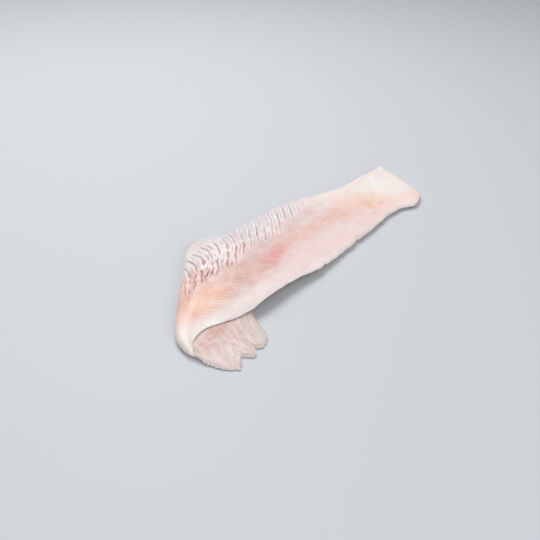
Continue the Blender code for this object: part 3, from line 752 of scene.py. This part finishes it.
# %% Swell and lifted corner of the cut end
CUT_SWELL = 4.3  # the cut swells out by this much at this y
CUT_SWELL_Y = 13.0
CUT_SWELL_REACH = (18.0, 14.0)  # along the cut, and in from it
BELLY_SWELL = 2.2  # the belly edge swells out by this much at this x
BELLY_SWELL_X = 106.0
BELLY_SWELL_REACH = (10.0, 12.0)
CORNER_LIFT = 2.2  # the back corner stands up by this much
CORNER_LIFT_REACH = (5.5, 7.0)  # in from the cut, and in from the back edge


def cut_end_moves(along, across, x, y):
    """How far each point moves by the shape of the cut end, in x, y and z."""
    from_back, from_belly, from_cut = rim_distances(along, across)
    swell = CUT_SWELL * hump(y - CUT_SWELL_Y, CUT_SWELL_REACH[0]) * smooth(-2.5, 4.0, y)
    swell = swell * hump(from_cut, CUT_SWELL_REACH[1])
    belly = BELLY_SWELL * hump(x - BELLY_SWELL_X, BELLY_SWELL_REACH[0])
    belly = belly * hump(from_belly, BELLY_SWELL_REACH[1]) * smooth(*BODY_START, shares(along)[2])
    lift = CORNER_LIFT * hump(from_cut, CORNER_LIFT_REACH[0]) * hump(from_back, CORNER_LIFT_REACH[1])
    in_body = along > FOLD_TOP
    return np.where(in_body, swell, 0.0), -belly, np.where(in_body, lift, 0.0)


def edge_moves(along, across, x, y):
    """How far each point moves in all, in x, y and z."""
    nick_x, nick_y = nicks(along, across, x, y)
    end_x, end_y, lift = cut_end_moves(along, across, x, y)
    return nick_x + end_x, nick_y + end_y, lift


# %% [markdown]
# ## From slab to fillet
# We start with a flat grid, one unit square, as fine as the piece can carry, and give it a second
# layer with Solidify, so it is a closed slab. The rows are packed closer where the flakes gape.
# Then every vertex is carried to its place. The mesh is thinned at the end: Decimate takes triangles
# away where the flesh is smooth and leaves them where it gapes.

# %% The rows and columns of the slab
ROWS = 760
COLUMNS = 150
# Pairs: the share of the rows or columns, and how far along or across the ribbon that one lies.
ROW_PLACES = [(0.0, 0.0), (0.17, FLAP_ROWS), (0.26, FOLD_TOP), (0.88, 0.79), (1.0, 1.0)]
COLUMN_PLACES = [(0.0, 0.0), (0.66, 0.56), (1.0, 1.0)]


def deselect_all():
    for thing in bpy.context.view_layer.objects:
        thing.select_set(False)


deselect_all()
bpy.ops.mesh.primitive_grid_add(
    x_subdivisions=ROWS, y_subdivisions=COLUMNS, size=1.0, location=(0, 0, 0)
)
fillet = bpy.context.object
fillet.name = "whiting_fillet"
second_layer = fillet.modifiers.new("second layer", "SOLIDIFY")
second_layer.thickness = 0.1
bpy.ops.object.modifier_apply(modifier="second layer")
print("slab:", len(fillet.data.vertices), "vertices")

# %% Where every vertex of the slab belongs on the sheet
mesh = fillet.data
flat = np.empty(3 * len(mesh.vertices))
mesh.vertices.foreach_get("co", flat)
flat_x, flat_y, flat_z = flat.reshape(-1, 3).T
along = along_line(ROW_PLACES, 0.5 + flat_x)
across = along_line(COLUMN_PLACES, 0.5 - flat_y)
bone_side = flat_z < 0.5 * (flat_z.min() + flat_z.max())
sheet = eased_sheet(along, across)
place, out, flesh, unfolded = sheet[:, :3], sheet[:, 3:6], sheet[:, 6], sheet[:, 7:]
print("the flesh is %.1f to %.1f mm thick before its rims are rounded" % (flesh.min(), flesh.max()))

# %% How deep the skin side and the bone side lie under the sheet
above, below, rim_depth = rim_profile(along, across)
band = RIM_BAND * flesh
off_flap = smooth(FLAP_ROWS + 0.3 * FOLD_ROWS, FLAP_ROWS + 0.85 * FOLD_ROWS, along)
opened = smooth(0.05, 0.5, above) * off_flap
# gap is the painted shade of the gaps; lip is the painted highlight of the lips, with the white seam
depth, gap, lip = gaping(unfolded[:, 0], unfolded[:, 1])
inside = smooth(0.0, 0.7, above) * smooth(FLAP_ROWS + 0.4 * FOLD_ROWS, FOLD_TOP, along)
skin_depth = (rim_depth * flesh - band) * (1.0 - above) + depth * opened
skin_depth = skin_depth - unevenness(unfolded[:, 0], unfolded[:, 1]) * inside
bone_depth = flesh - ((1.0 - rim_depth) * flesh - band) * (1.0 - below)
# Thinning never pushes the skin side through the bone side: a thin rim is left between them.
deepest = np.maximum(skin_depth, bone_depth - 2.0 * band)
skin_depth = np.minimum(skin_depth + thinned_belly(along, across), deepest)
bone_depth = bone_depth + flap_wrinkles(along, across) * smooth(0.2, 0.9, below)
bone_depth = bone_depth + hanging_rim(along, across)

# %% Carry every vertex to its place
place = place + np.column_stack(edge_moves(along, across, unfolded[:, 0], unfolded[:, 1]))
points = place - out * np.where(bone_side, bone_depth, skin_depth)[:, None] - BOX_MIDDLE
mesh.vertices.foreach_set("co", (points * MM).ravel())
mesh.update()
print("fillet box in mm:", np.round(points.max(0) - points.min(0), 1))

# %% [markdown]
# ## Smooth the roll
# Where the roll dies out at the belly edge a faint crease is left that the real, soft flesh doesn't
# have. By hand it would be brushed away in Sculpt mode. A Smooth modifier does the same wherever a
# vertex group gives it weight: on the skin side of the roll, fading out before the rim.

# %% A vertex group for the roll, and the Smooth modifier
WEIGHT_STEPS = 10
BRUSH_STRENGTH = 0.5
BRUSH_STROKES = 260
rolled = smooth(0.24, 0.28, along) * (1.0 - smooth(0.42, 0.5, along))
near_belly = smooth(0.6, 0.75, across) * (1.0 - smooth(0.965, 0.995, across))
weights = np.where(bone_side, 0.0, rolled * near_belly)
soft_roll = fillet.vertex_groups.new(name="soft roll")
for step in range(1, WEIGHT_STEPS + 1):
    chosen = np.flatnonzero(np.round(WEIGHT_STEPS * weights) == step)
    soft_roll.add(chosen.tolist(), step / WEIGHT_STEPS, "REPLACE")
brush = fillet.modifiers.new("brush", "SMOOTH")
brush.vertex_group = soft_roll.name
brush.factor = BRUSH_STRENGTH
brush.iterations = BRUSH_STROKES
bpy.ops.object.modifier_apply(modifier="brush")
mesh = fillet.data
print("vertices brushed smooth:", int((weights > 0.05).sum()))

# %% [markdown]
# ## Notes for the finish
# The material will need to know things that only the shape knows: where a point lies on the
# unfolded fillet and on which flake, how strongly the painted shade of a gap lies on it, how strongly
# the painted highlight of a lip or the white seam lies on it, how near it is to a rim, and whether it
# is on the skin side or the bone side. Each is kept with the vertices as an attribute, which a node
# reads.

# %% Attributes for the material
def keep_number(name, values):
    """Keeps one number for each vertex."""
    attribute = mesh.attributes.new(name, "FLOAT", "POINT")
    attribute.data.foreach_set("value", np.ascontiguousarray(values, dtype=np.float32))


unfolded_place = mesh.attributes.new("unfolded", "FLOAT_VECTOR", "POINT")
unfolded_points = np.column_stack([unfolded, 0.0 * flesh]).astype(np.float32)
unfolded_place.data.foreach_set("vector", unfolded_points.ravel())
# painted shade of the gaps, and painted highlights of the lips with the white seam
keep_number("gap", np.where(bone_side, 0.0, gap * opened))
keep_number("lip", np.where(bone_side, 0.0, lip * opened))
keep_number("bone_side", bone_side.astype(float))
keep_number("rim", 1.0 - np.where(bone_side, below, above))
keep_number("flakes", flake_count(unfolded[:, 0], unfolded[:, 1]))
print("attributes:", [a.name for a in mesh.attributes if not a.is_internal])

# %% Thin the mesh where it is smooth
TRIANGLES = 185000
thinner = fillet.modifiers.new("thinner", "DECIMATE")
thinner.use_collapse_triangulate = True
thinner.ratio = TRIANGLES / (2.0 * len(mesh.polygons))
bpy.ops.object.modifier_apply(modifier="thinner")
bpy.ops.object.shade_smooth()
mesh = fillet.data
print("triangles:", len(mesh.polygons))

# %% [markdown]
# ## The finish of raw flesh
# Raw whiting is pale and moist, and light sinks a little way into it. Its colour is never even: a
# bluish white loin where the flakes gape, a pink to orange strip along the midline where small dark
# muscle lies under the skin, one red bruise, and a whitish belly with fine slanting lines. The
# finish is built from small node groups, each one effect with named inputs and outputs.

# %% Helpers for nodes
def colour(red, green, blue):
    """A colour as it is read off a screen, 0 to 255, in the linear values that nodes use."""
    def linear(value):
        value = value / 255.0
        return value / 12.92 if value <= 0.04045 else ((value + 0.055) / 1.055) ** 2.4
    return (linear(red), linear(green), linear(blue), 1.0)


def plug(tree, socket, value):
    """Joins an output to this input, or sets the input's own value."""
    if isinstance(value, bpy.types.NodeSocket):
        tree.links.new(value, socket)
    else:
        socket.default_value = value


def operate(tree, kind, operation, values):
    """A node of this kind that does one step of arithmetic, with its inputs plugged in order."""
    node = tree.nodes.new(kind)
    node.operation = operation
    for socket, value in zip(node.inputs, values):
        plug(tree, socket, value)
    return node.outputs


def calculate(tree, operation, *values):
    return operate(tree, "ShaderNodeMath", operation, values)[0]


def calculate_vector(tree, operation, *values):
    return operate(tree, "ShaderNodeVectorMath", operation, values)


def blend(tree, share, first, second):
    """First where share is 0, second where it is 1, for colours."""
    node = tree.nodes.new("ShaderNodeMix")
    node.data_type = "RGBA"
    for name, value in (("Factor_Float", share), ("A_Color", first), ("B_Color", second)):
        plug(tree, next(socket for socket in node.inputs if socket.identifier == name), value)
    return next(socket for socket in node.outputs if socket.identifier == "Result_Color")


def soft_step(tree, value, low, high):
    """0 below low, 1 above high. Low may be the larger, and then it falls."""
    node = tree.nodes.new("ShaderNodeMapRange")
    node.interpolation_type = "SMOOTHSTEP"
    for name, given in (("Value", value), ("From Min", low), ("From Max", high)):
        plug(tree, node.inputs[name], given)
    return node.outputs["Result"]


def noise_at(tree, vector, scale, detail=2.0, roughness=0.5):
    node = tree.nodes.new("ShaderNodeTexNoise")
    plug(tree, node.inputs["Vector"], vector)
    for name, given in (("Scale", scale), ("Detail", detail), ("Roughness", roughness)):
        plug(tree, node.inputs[name], given)
    return node.outputs["Fac"]


def stretched(tree, vector, scale, turn=0.0):
    """The place vector stretched and turned, for a pattern with a grain."""
    node = tree.nodes.new("ShaderNodeMapping")
    plug(tree, node.inputs["Vector"], vector)
    node.inputs["Scale"].default_value = scale
    node.inputs["Rotation"].default_value = (0.0, 0.0, math.radians(turn))
    return node.outputs["Vector"]


def new_group(name, inputs, outputs):
    """A node group with these sockets, and its input and output nodes."""
    group = bpy.data.node_groups.new(name, "ShaderNodeTree")
    for direction, sockets in (("INPUT", inputs), ("OUTPUT", outputs)):
        for socket_name, kind, value in sockets:
            socket = group.interface.new_socket(
                socket_name, in_out=direction, socket_type="NodeSocket" + kind
            )
            if direction == "INPUT" and value is not None:
                socket.default_value = value
    given = group.nodes.new("NodeGroupInput").outputs
    return group, given, group.nodes.new("NodeGroupOutput").inputs


def use_group(tree, group, **values):
    """One use of a group. Its inputs are named in small letters, with _ for a space."""
    node = tree.nodes.new("ShaderNodeGroup")
    node.node_tree = group
    for name, value in values.items():
        plug(tree, node.inputs[name.replace("_", " ").capitalize()], value)
    return node.outputs


# %% [markdown]
# ### Group: a soft tint
# The pinks and oranges lie in long patches with ragged, feathered borders. One patch is an ellipse
# on the unfolded fillet, turned to lie along the flesh, whose border is roughened by noise. The
# group blends its tint into whatever colour comes in, so several can be chained.

# %% Build the group "soft tint"
soft_tint, given, made = new_group(
    "soft tint",
    [("Colour", "Color", (1, 1, 1, 1)), ("Place", "Vector", None), ("Centre", "Vector", None),
     ("Reach", "Vector", (10, 10, 1)), ("Turn", "Vector", None), ("Tint", "Color", (1, 0.5, 0.5, 1)),
     ("Strength", "Float", 1.0)],
    [("Colour", "Color", None)],
)
centred = calculate_vector(soft_tint, "SUBTRACT", given["Place"], given["Centre"])[0]
turned = soft_tint.nodes.new("ShaderNodeVectorRotate")
turned.rotation_type = "EULER_XYZ"
turned.invert = True
plug(soft_tint, turned.inputs["Vector"], centred)
plug(soft_tint, turned.inputs["Rotation"], given["Turn"])
sized = calculate_vector(soft_tint, "DIVIDE", turned.outputs[0], given["Reach"])[0]
distance = calculate_vector(soft_tint, "LENGTH", sized)["Value"]
slanting = stretched(soft_tint, given["Place"], (0.6, 1.4, 1.0), -38.0)
ragged = calculate(soft_tint, "SUBTRACT", noise_at(soft_tint, slanting, 0.16, 4.0, 0.6), 0.5)
ragged_distance = calculate(soft_tint, "MULTIPLY_ADD", ragged, 1.1, distance)
inside_patch = soft_step(soft_tint, ragged_distance, 1.15, 0.1)
share = calculate(soft_tint, "MULTIPLY", inside_patch, given["Strength"])
plug(soft_tint, made["Colour"], blend(soft_tint, share, given["Colour"], given["Tint"]))
print(soft_tint.name, "has", len(soft_tint.nodes), "nodes")

# %% [markdown]
# ### Group: flake lines
# Even where the flesh is whole, thin sheets of white tissue between the flakes show as lines. The
# group reads the count of flakes that the mesh keeps. Its fraction says how near a point is to a
# line, and its whole number gives each flake a tone of its own.

# %% Build the group "flake lines"
flake_lines, given, made = new_group(
    "flake lines",
    [("Flakes", "Float", 0.0), ("Place", "Vector", None), ("Lines per flake", "Float", 2.0),
     ("Width", "Float", 0.18)],
    [("Line", "Float", None), ("Tone", "Float", None)],
)
wavering = calculate(flake_lines, "SUBTRACT", noise_at(flake_lines, given["Place"], 0.22, 3.0), 0.5)
count = calculate(flake_lines, "MULTIPLY", given["Flakes"], given["Lines per flake"])
count = calculate(flake_lines, "MULTIPLY_ADD", wavering, 0.9, count)
to_line = calculate(flake_lines, "PINGPONG", count, 0.5)
line = soft_step(flake_lines, to_line, given["Width"], 0.0)
broken = soft_step(flake_lines, noise_at(flake_lines, given["Place"], 0.3, 2.0), 0.38, 0.62)
plug(flake_lines, made["Line"], calculate(flake_lines, "MULTIPLY", line, broken))
tone = flake_lines.nodes.new("ShaderNodeTexWhiteNoise")
tone.noise_dimensions = "1D"
plug(flake_lines, tone.inputs["W"], calculate(flake_lines, "FLOOR", given["Flakes"]))
plug(flake_lines, made["Tone"], tone.outputs["Value"])
print(flake_lines.name, "has", len(flake_lines.nodes), "nodes")

# %% [markdown]
# ### Group: fibres
# Within a flake the flesh is a bundle of fine fibres, and a cut or torn surface shows them as
# a faint grain. Stretched noise gives it, long one way and fine the other, with a coarser noise
# for the lumps between.

# %% Build the group "fibres"
fibres, given, made = new_group(
    "fibres",
    [("Place", "Vector", None), ("Fineness", "Float", 1.0)],
    [("Grain", "Float", None), ("Mottle", "Float", None)],
)
grain_place = stretched(fibres, given["Place"], (0.25, 1.6, 1.0), -40.0)
grain = noise_at(fibres, grain_place, given["Fineness"], 4.0, 0.65)
plug(fibres, made["Grain"], grain)
plug(fibres, made["Mottle"], noise_at(fibres, given["Place"], 0.11, 5.0, 0.6))
print(fibres.name, "has", len(fibres.nodes), "nodes")

# %% [markdown]
# ## The flesh material
# The skin side starts from a pinkish white. Soft tints are laid over it one after another, each at
# its place on the unfolded fillet, and after them the flake lines, the painted highlights of the lips
# and the painted shade of the gaps. One of the skin's tints is painted light on the shaded belly end
# of the fold. The bone side is darker and more beige, with its own few tints, placed on plan; two of
# them are painted shadow under the body's rim. All of the tints were placed one by one. Their colours
# were first fitted to the photo by a small program, then changed by hand.

# %% The tints of the skin side, and of the bone side, among them painted light and painted shadows
SKIN_TINTS_AND_PAINTED_LIGHT = [
    # centre x, centre y, reach x, reach y, turn, strength, colour
    ((-22, 44), (66, 17), 4, 0.9, (210, 205, 211)),  # bluish loin
    ((-85, 34), (34, 18), 0, 0.7, (240, 234, 235)),  # pale loin by the fold
    ((-62, 51), (16, 3), 4, 0.8, (204, 176, 170)),  # brown back edge by the fold
    ((95, 25), (48, 40), 0, 0.85, (252, 240, 233)),  # pale tail
    ((58, 36), (34, 13), -4, 0.85, (246, 233, 221)),  # creamy loin towards the tail
    ((20, -3), (95, 13), 6, 0.8, (243, 212, 206)),  # pink belly
    ((-82, -17), (60, 7), 0, 0.7, (247, 234, 229)),  # pale belly by the fold
    ((-10, -18), (40, 5), 6, 0.6, (245, 236, 232)),  # pale belly edge
    ((-84, -7), (30, 12), 4, 0.9, (214, 170, 159)),  # brown under the midline by the fold
    ((-72, 3), (52, 11), 0, 0.95, (210, 163, 149)),  # brown midline by the fold
    ((-107, -3), (22, 12), 8, 0.95, (246, 186, 156)),  # orange on the fold
    ((-97, -5), (22, 8), 8, 0.7, (229, 169, 138)),  # deeper orange on the fold
    ((-98, 13), (26, 11), 30, 0.9, (230, 165, 148)),  # orange up the fold
    ((-34, 5), (40, 11), 26, 0.9, (225, 162, 151)),  # red strip up to the seam
    ((-35, 4), (15, 6), 27, 0.85, (231, 143, 147)),  # red bruise
    ((-12, 22), (64, 9), 12, 0.8, (217, 183, 179)),  # greyish pink along the seam
    ((2, 12), (40, 11), 8, 0.9, (229, 184, 172)),  # pink midline
    ((38, 15), (28, 13), 0, 0.9, (232, 184, 169)),  # pink midline, further on
    ((69, 15), (33, 18), -14, 0.9, (249, 202, 180)),  # orange midline before the tail
    ((70, 13), (9, 4), 50, 0.4, (230, 176, 157)),  # spot in the orange
    ((79, 9), (5, 2.5), 20, 0.4, (228, 172, 152)),  # spot in the orange
    ((64, 2), (4, 2), 60, 0.5, (214, 172, 160)),  # spot on the belly
    ((21, 15), (5, 2), 20, 0.5, (214, 160, 140)),  # spot on the midline
    ((111, 3), (12, 8), 10, 0.8, (251, 209, 194)),  # pink belly corner of the cut end
    ((-116, -22), (24, 12), 0, 0.8, (255, 242, 230)),  # painted light: brightens and warms the shaded belly end of the fold
]
BONE_TINTS_AND_PAINTED_SHADOWS = [
    ((-108, -26), (26, 7), 12, 0.95, (202, 154, 143)),  # painted shadow of the body's belly rim on the flap
    ((-104, -33), (20, 6), 22, 0.6, (220, 183, 181)),  # pink on the ridge
    ((-84, -27), (10, 7), -60, 0.6, (190, 166, 156)),  # painted shadow under the body's rim, at the flap's back edge
    ((-104, -40), (12, 6), 0, 0.5, (223, 191, 188)),  # pink at the belly edge
    ((-93, -43), (9, 8), 20, 0.7, (210, 197, 188)),  # beige back lobe
    ((-112, -47), (11, 6), -30, 0.7, (223, 206, 200)),  # beige belly lobe
]
CRUMB_GAP_SHADE = ((-60, 13), (88, 14), 8, 1.0, (188, 126, 112))  # painted shade in the gaps, redder along the crumbs
CLEAR_LINES = ((-84, -17), (46, 12), 0, 1.0, (255, 255, 255))  # white where flake lines show most
print(len(SKIN_TINTS_AND_PAINTED_LIGHT), "tints on the skin side,", len(BONE_TINTS_AND_PAINTED_SHADOWS), "on the bone side")

# %% Read the notes that the mesh keeps
flesh_material = bpy.data.materials.new("raw_whiting_flesh")
flesh_material.use_nodes = True
tree = flesh_material.node_tree
shader = tree.nodes["Principled BSDF"]


def note(name):
    """A number that the mesh keeps."""
    node = tree.nodes.new("ShaderNodeAttribute")
    node.attribute_name = name
    return node.outputs["Fac"]


unfolded_node = tree.nodes.new("ShaderNodeAttribute")
unfolded_node.attribute_name = "unfolded"
on_fillet = unfolded_node.outputs["Vector"]
object_place = tree.nodes.new("ShaderNodeTexCoord").outputs["Object"]
on_plan = stretched(tree, object_place, (1000.0, 1000.0, 0.0))


def tinted(base, place, tints):
    """The base colour with these soft tints laid over it in turn."""
    for centre, reach, turn, strength, tint in tints:
        base = use_group(
            tree, soft_tint, colour=base, place=place, centre=(*centre, 0.0), reach=(*reach, 1.0),
            turn=(0.0, 0.0, math.radians(turn)), strength=strength, tint=colour(*tint),
        )["Colour"]
    return base


# the tint lists also lay painted light on the fold's belly end and painted shadows on the flap
skin_colour = tinted(colour(235, 215, 213), on_fillet, SKIN_TINTS_AND_PAINTED_LIGHT)
bone_colour = tinted(colour(221, 200, 194), on_plan, BONE_TINTS_AND_PAINTED_SHADOWS)

# %% Flake lines, painted highlights on the lips and painted shade in the gaps, on the skin side
FAINT_LINES = 0.22  # share of the flake lines that shows where they aren't clear


def laid_over(base, share, strength, over):
    """A colour laid over the base, as strongly as the share and the strength say."""
    return blend(tree, calculate(tree, "MULTIPLY", share, strength), base, over)


lines = use_group(tree, flake_lines, flakes=note("flakes"), place=on_fillet, lines_per_flake=2.0, width=0.24)
fine = use_group(tree, fibres, place=on_fillet, fineness=1.0)
clearness = tinted((FAINT_LINES, FAINT_LINES, FAINT_LINES, 1.0), on_fillet, [CLEAR_LINES])
# the gaps' painted shade: a darker pinkish brown, redder along the crumbs
gap_shade_colour = tinted(colour(184, 152, 148), on_fillet, [CRUMB_GAP_SHADE])
skin_colour = laid_over(skin_colour, lines["Line"], clearness, colour(250, 243, 241))
skin_colour = laid_over(skin_colour, lines["Tone"], 0.12, colour(214, 196, 196))
# painted highlights on the lips of the gaps, and the real white seam
skin_colour = laid_over(skin_colour, note("lip"), 0.8, colour(251, 247, 248))
# the painted shade laid into the gaps
skin_colour = laid_over(skin_colour, soft_step(tree, note("gap"), 0.05, 1.0), 0.85, gap_shade_colour)

# %% Mottling, painted light on the rims, and grain over the two sides together
mottle = soft_step(tree, fine["Mottle"], 0.35, 0.65)
rim_painted_light = soft_step(tree, note("rim"), 0.25, 0.9)
both = blend(tree, note("bone_side"), skin_colour, bone_colour)
both = laid_over(both, mottle, 0.22, colour(253, 245, 241))
# painted light: the rounded rims are brightened towards a pale cream
both = laid_over(both, rim_painted_light, 0.75, colour(249, 240, 234))
both = laid_over(both, soft_step(tree, fine["Grain"], 0.45, 0.75), 0.16, colour(218, 184, 178))
plug(tree, shader.inputs["Base Color"], both)

# %% [markdown]
# ### Moist and translucent
# The Principled shader's subsurface lets light travel a few millimetres through the flesh, the red
# part of it furthest. A thin coat stands for the film of water: it is glossier than the flesh, and
# stronger on the lips and in pale mottles. The fibres also feed the roughness and a fine bump, and
# the flake lines feed a soft bump under it.

# %% Subsurface, wet coat, roughness and bump
WET_FLESH = {
    "Subsurface Weight": 0.35,
    "Subsurface Radius": (1.0, 0.5, 0.4),  # red, green and blue, times the scale
    "Subsurface Scale": 0.003,  # metres
    "IOR": 1.38,
    "Coat Roughness": 0.16,
    "Coat IOR": 1.33,
}
for name, value in WET_FLESH.items():
    shader.inputs[name].default_value = value
wet_lips = calculate(tree, "MULTIPLY_ADD", note("lip"), 0.5, 0.35)
wet = calculate(tree, "MULTIPLY_ADD", mottle, 0.25, wet_lips)
plug(tree, shader.inputs["Coat Weight"], calculate(tree, "MINIMUM", wet, 1.0))
plug(tree, shader.inputs["Roughness"], calculate(tree, "MULTIPLY_ADD", fine["Grain"], 0.25, 0.34))


def bump(height, strength, distance, under=None):
    """Small relief in the shading, on top of the one given as under. The distance is in metres."""
    node = tree.nodes.new("ShaderNodeBump")
    node.inputs["Strength"].default_value = strength
    node.inputs["Distance"].default_value = distance
    plug(tree, node.inputs["Height"], height)
    if under is not None:
        plug(tree, node.inputs["Normal"], under)
    return node.outputs["Normal"]


soft_bump = bump(lines["Line"], 0.5, 0.00025)
plug(tree, shader.inputs["Normal"], bump(fine["Grain"], 0.4, 0.0003, soft_bump))
fillet.data.materials.clear()
fillet.data.materials.append(flesh_material)
print("material has", len(tree.nodes), "nodes")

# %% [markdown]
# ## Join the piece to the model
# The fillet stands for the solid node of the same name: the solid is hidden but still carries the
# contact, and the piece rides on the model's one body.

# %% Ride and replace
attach(fillet, "root")
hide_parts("fillet")

# %% [markdown]
# ## Floor, light and camera
# A wide plain pale floor keeps the eye on the flesh. A large soft lamp above and behind brings out
# the flakes, as in a food photograph, and a weaker one in front fills the near side.

# %% A pale floor
FLOOR_SIZE = 6.0
FLOOR_Z = -0.0002  # a hair under the fillet
deselect_all()
bpy.ops.mesh.primitive_plane_add(size=FLOOR_SIZE, location=(0, 0, FLOOR_Z))
floor = bpy.context.object
floor.name = "floor"
bpy.ops.object.transform_apply(location=True, rotation=True, scale=True)
floor_material = bpy.data.materials.new("pale_floor")
floor_material.use_nodes = True
floor_shader = floor_material.node_tree.nodes["Principled BSDF"]
floor_shader.inputs["Base Color"].default_value = colour(205, 208, 212)
floor_shader.inputs["Roughness"].default_value = 0.6
floor.data.materials.append(floor_material)

# %% Soft lamps and a pale sky
def soft_lamp(name, location, size, power):
    """A round lamp that faces the fillet."""
    lamp = bpy.data.lights.new(name, "AREA")
    lamp.shape = "DISK"
    lamp.size = size
    lamp.energy = power
    holder = bpy.data.objects.new(name, lamp)
    bpy.context.scene.collection.objects.link(holder)
    holder.location = location
    toward = -holder.location.normalized()
    holder.rotation_euler = toward.to_track_quat("-Z", "Y").to_euler()


soft_lamp("key_lamp", location=(0.12, 0.5, 0.85), size=0.7, power=6.3)
soft_lamp("fill_lamp", location=(-0.35, -0.8, 0.55), size=0.9, power=3.8)
sky = bpy.data.worlds.new("pale_sky")
bpy.context.scene.world = sky
sky.use_nodes = True
background = sky.node_tree.nodes["Background"]
background.inputs["Color"].default_value = (0.96, 0.98, 1.0, 1.0)
background.inputs["Strength"].default_value = 0.42
bpy.context.scene.view_settings.view_transform = "Standard"

# %% The camera, fitted to the photo
CAMERA_PLACE = (-0.305216, -0.258210, 0.238614)  # metres
CAMERA_TURN = (57.413, -1.3586, -44.817)  # degrees
CAMERA_LENS = 46.99  # millimetres, on a sensor of this width
SENSOR_WIDTH = 36.0
camera = bpy.data.cameras.new("camera")
camera.lens = CAMERA_LENS
camera.sensor_width = SENSOR_WIDTH
camera_holder = bpy.data.objects.new("camera", camera)
bpy.context.scene.collection.objects.link(camera_holder)
camera_holder.location = CAMERA_PLACE
camera_holder.rotation_euler = [math.radians(turn) for turn in CAMERA_TURN]
bpy.context.scene.camera = camera_holder
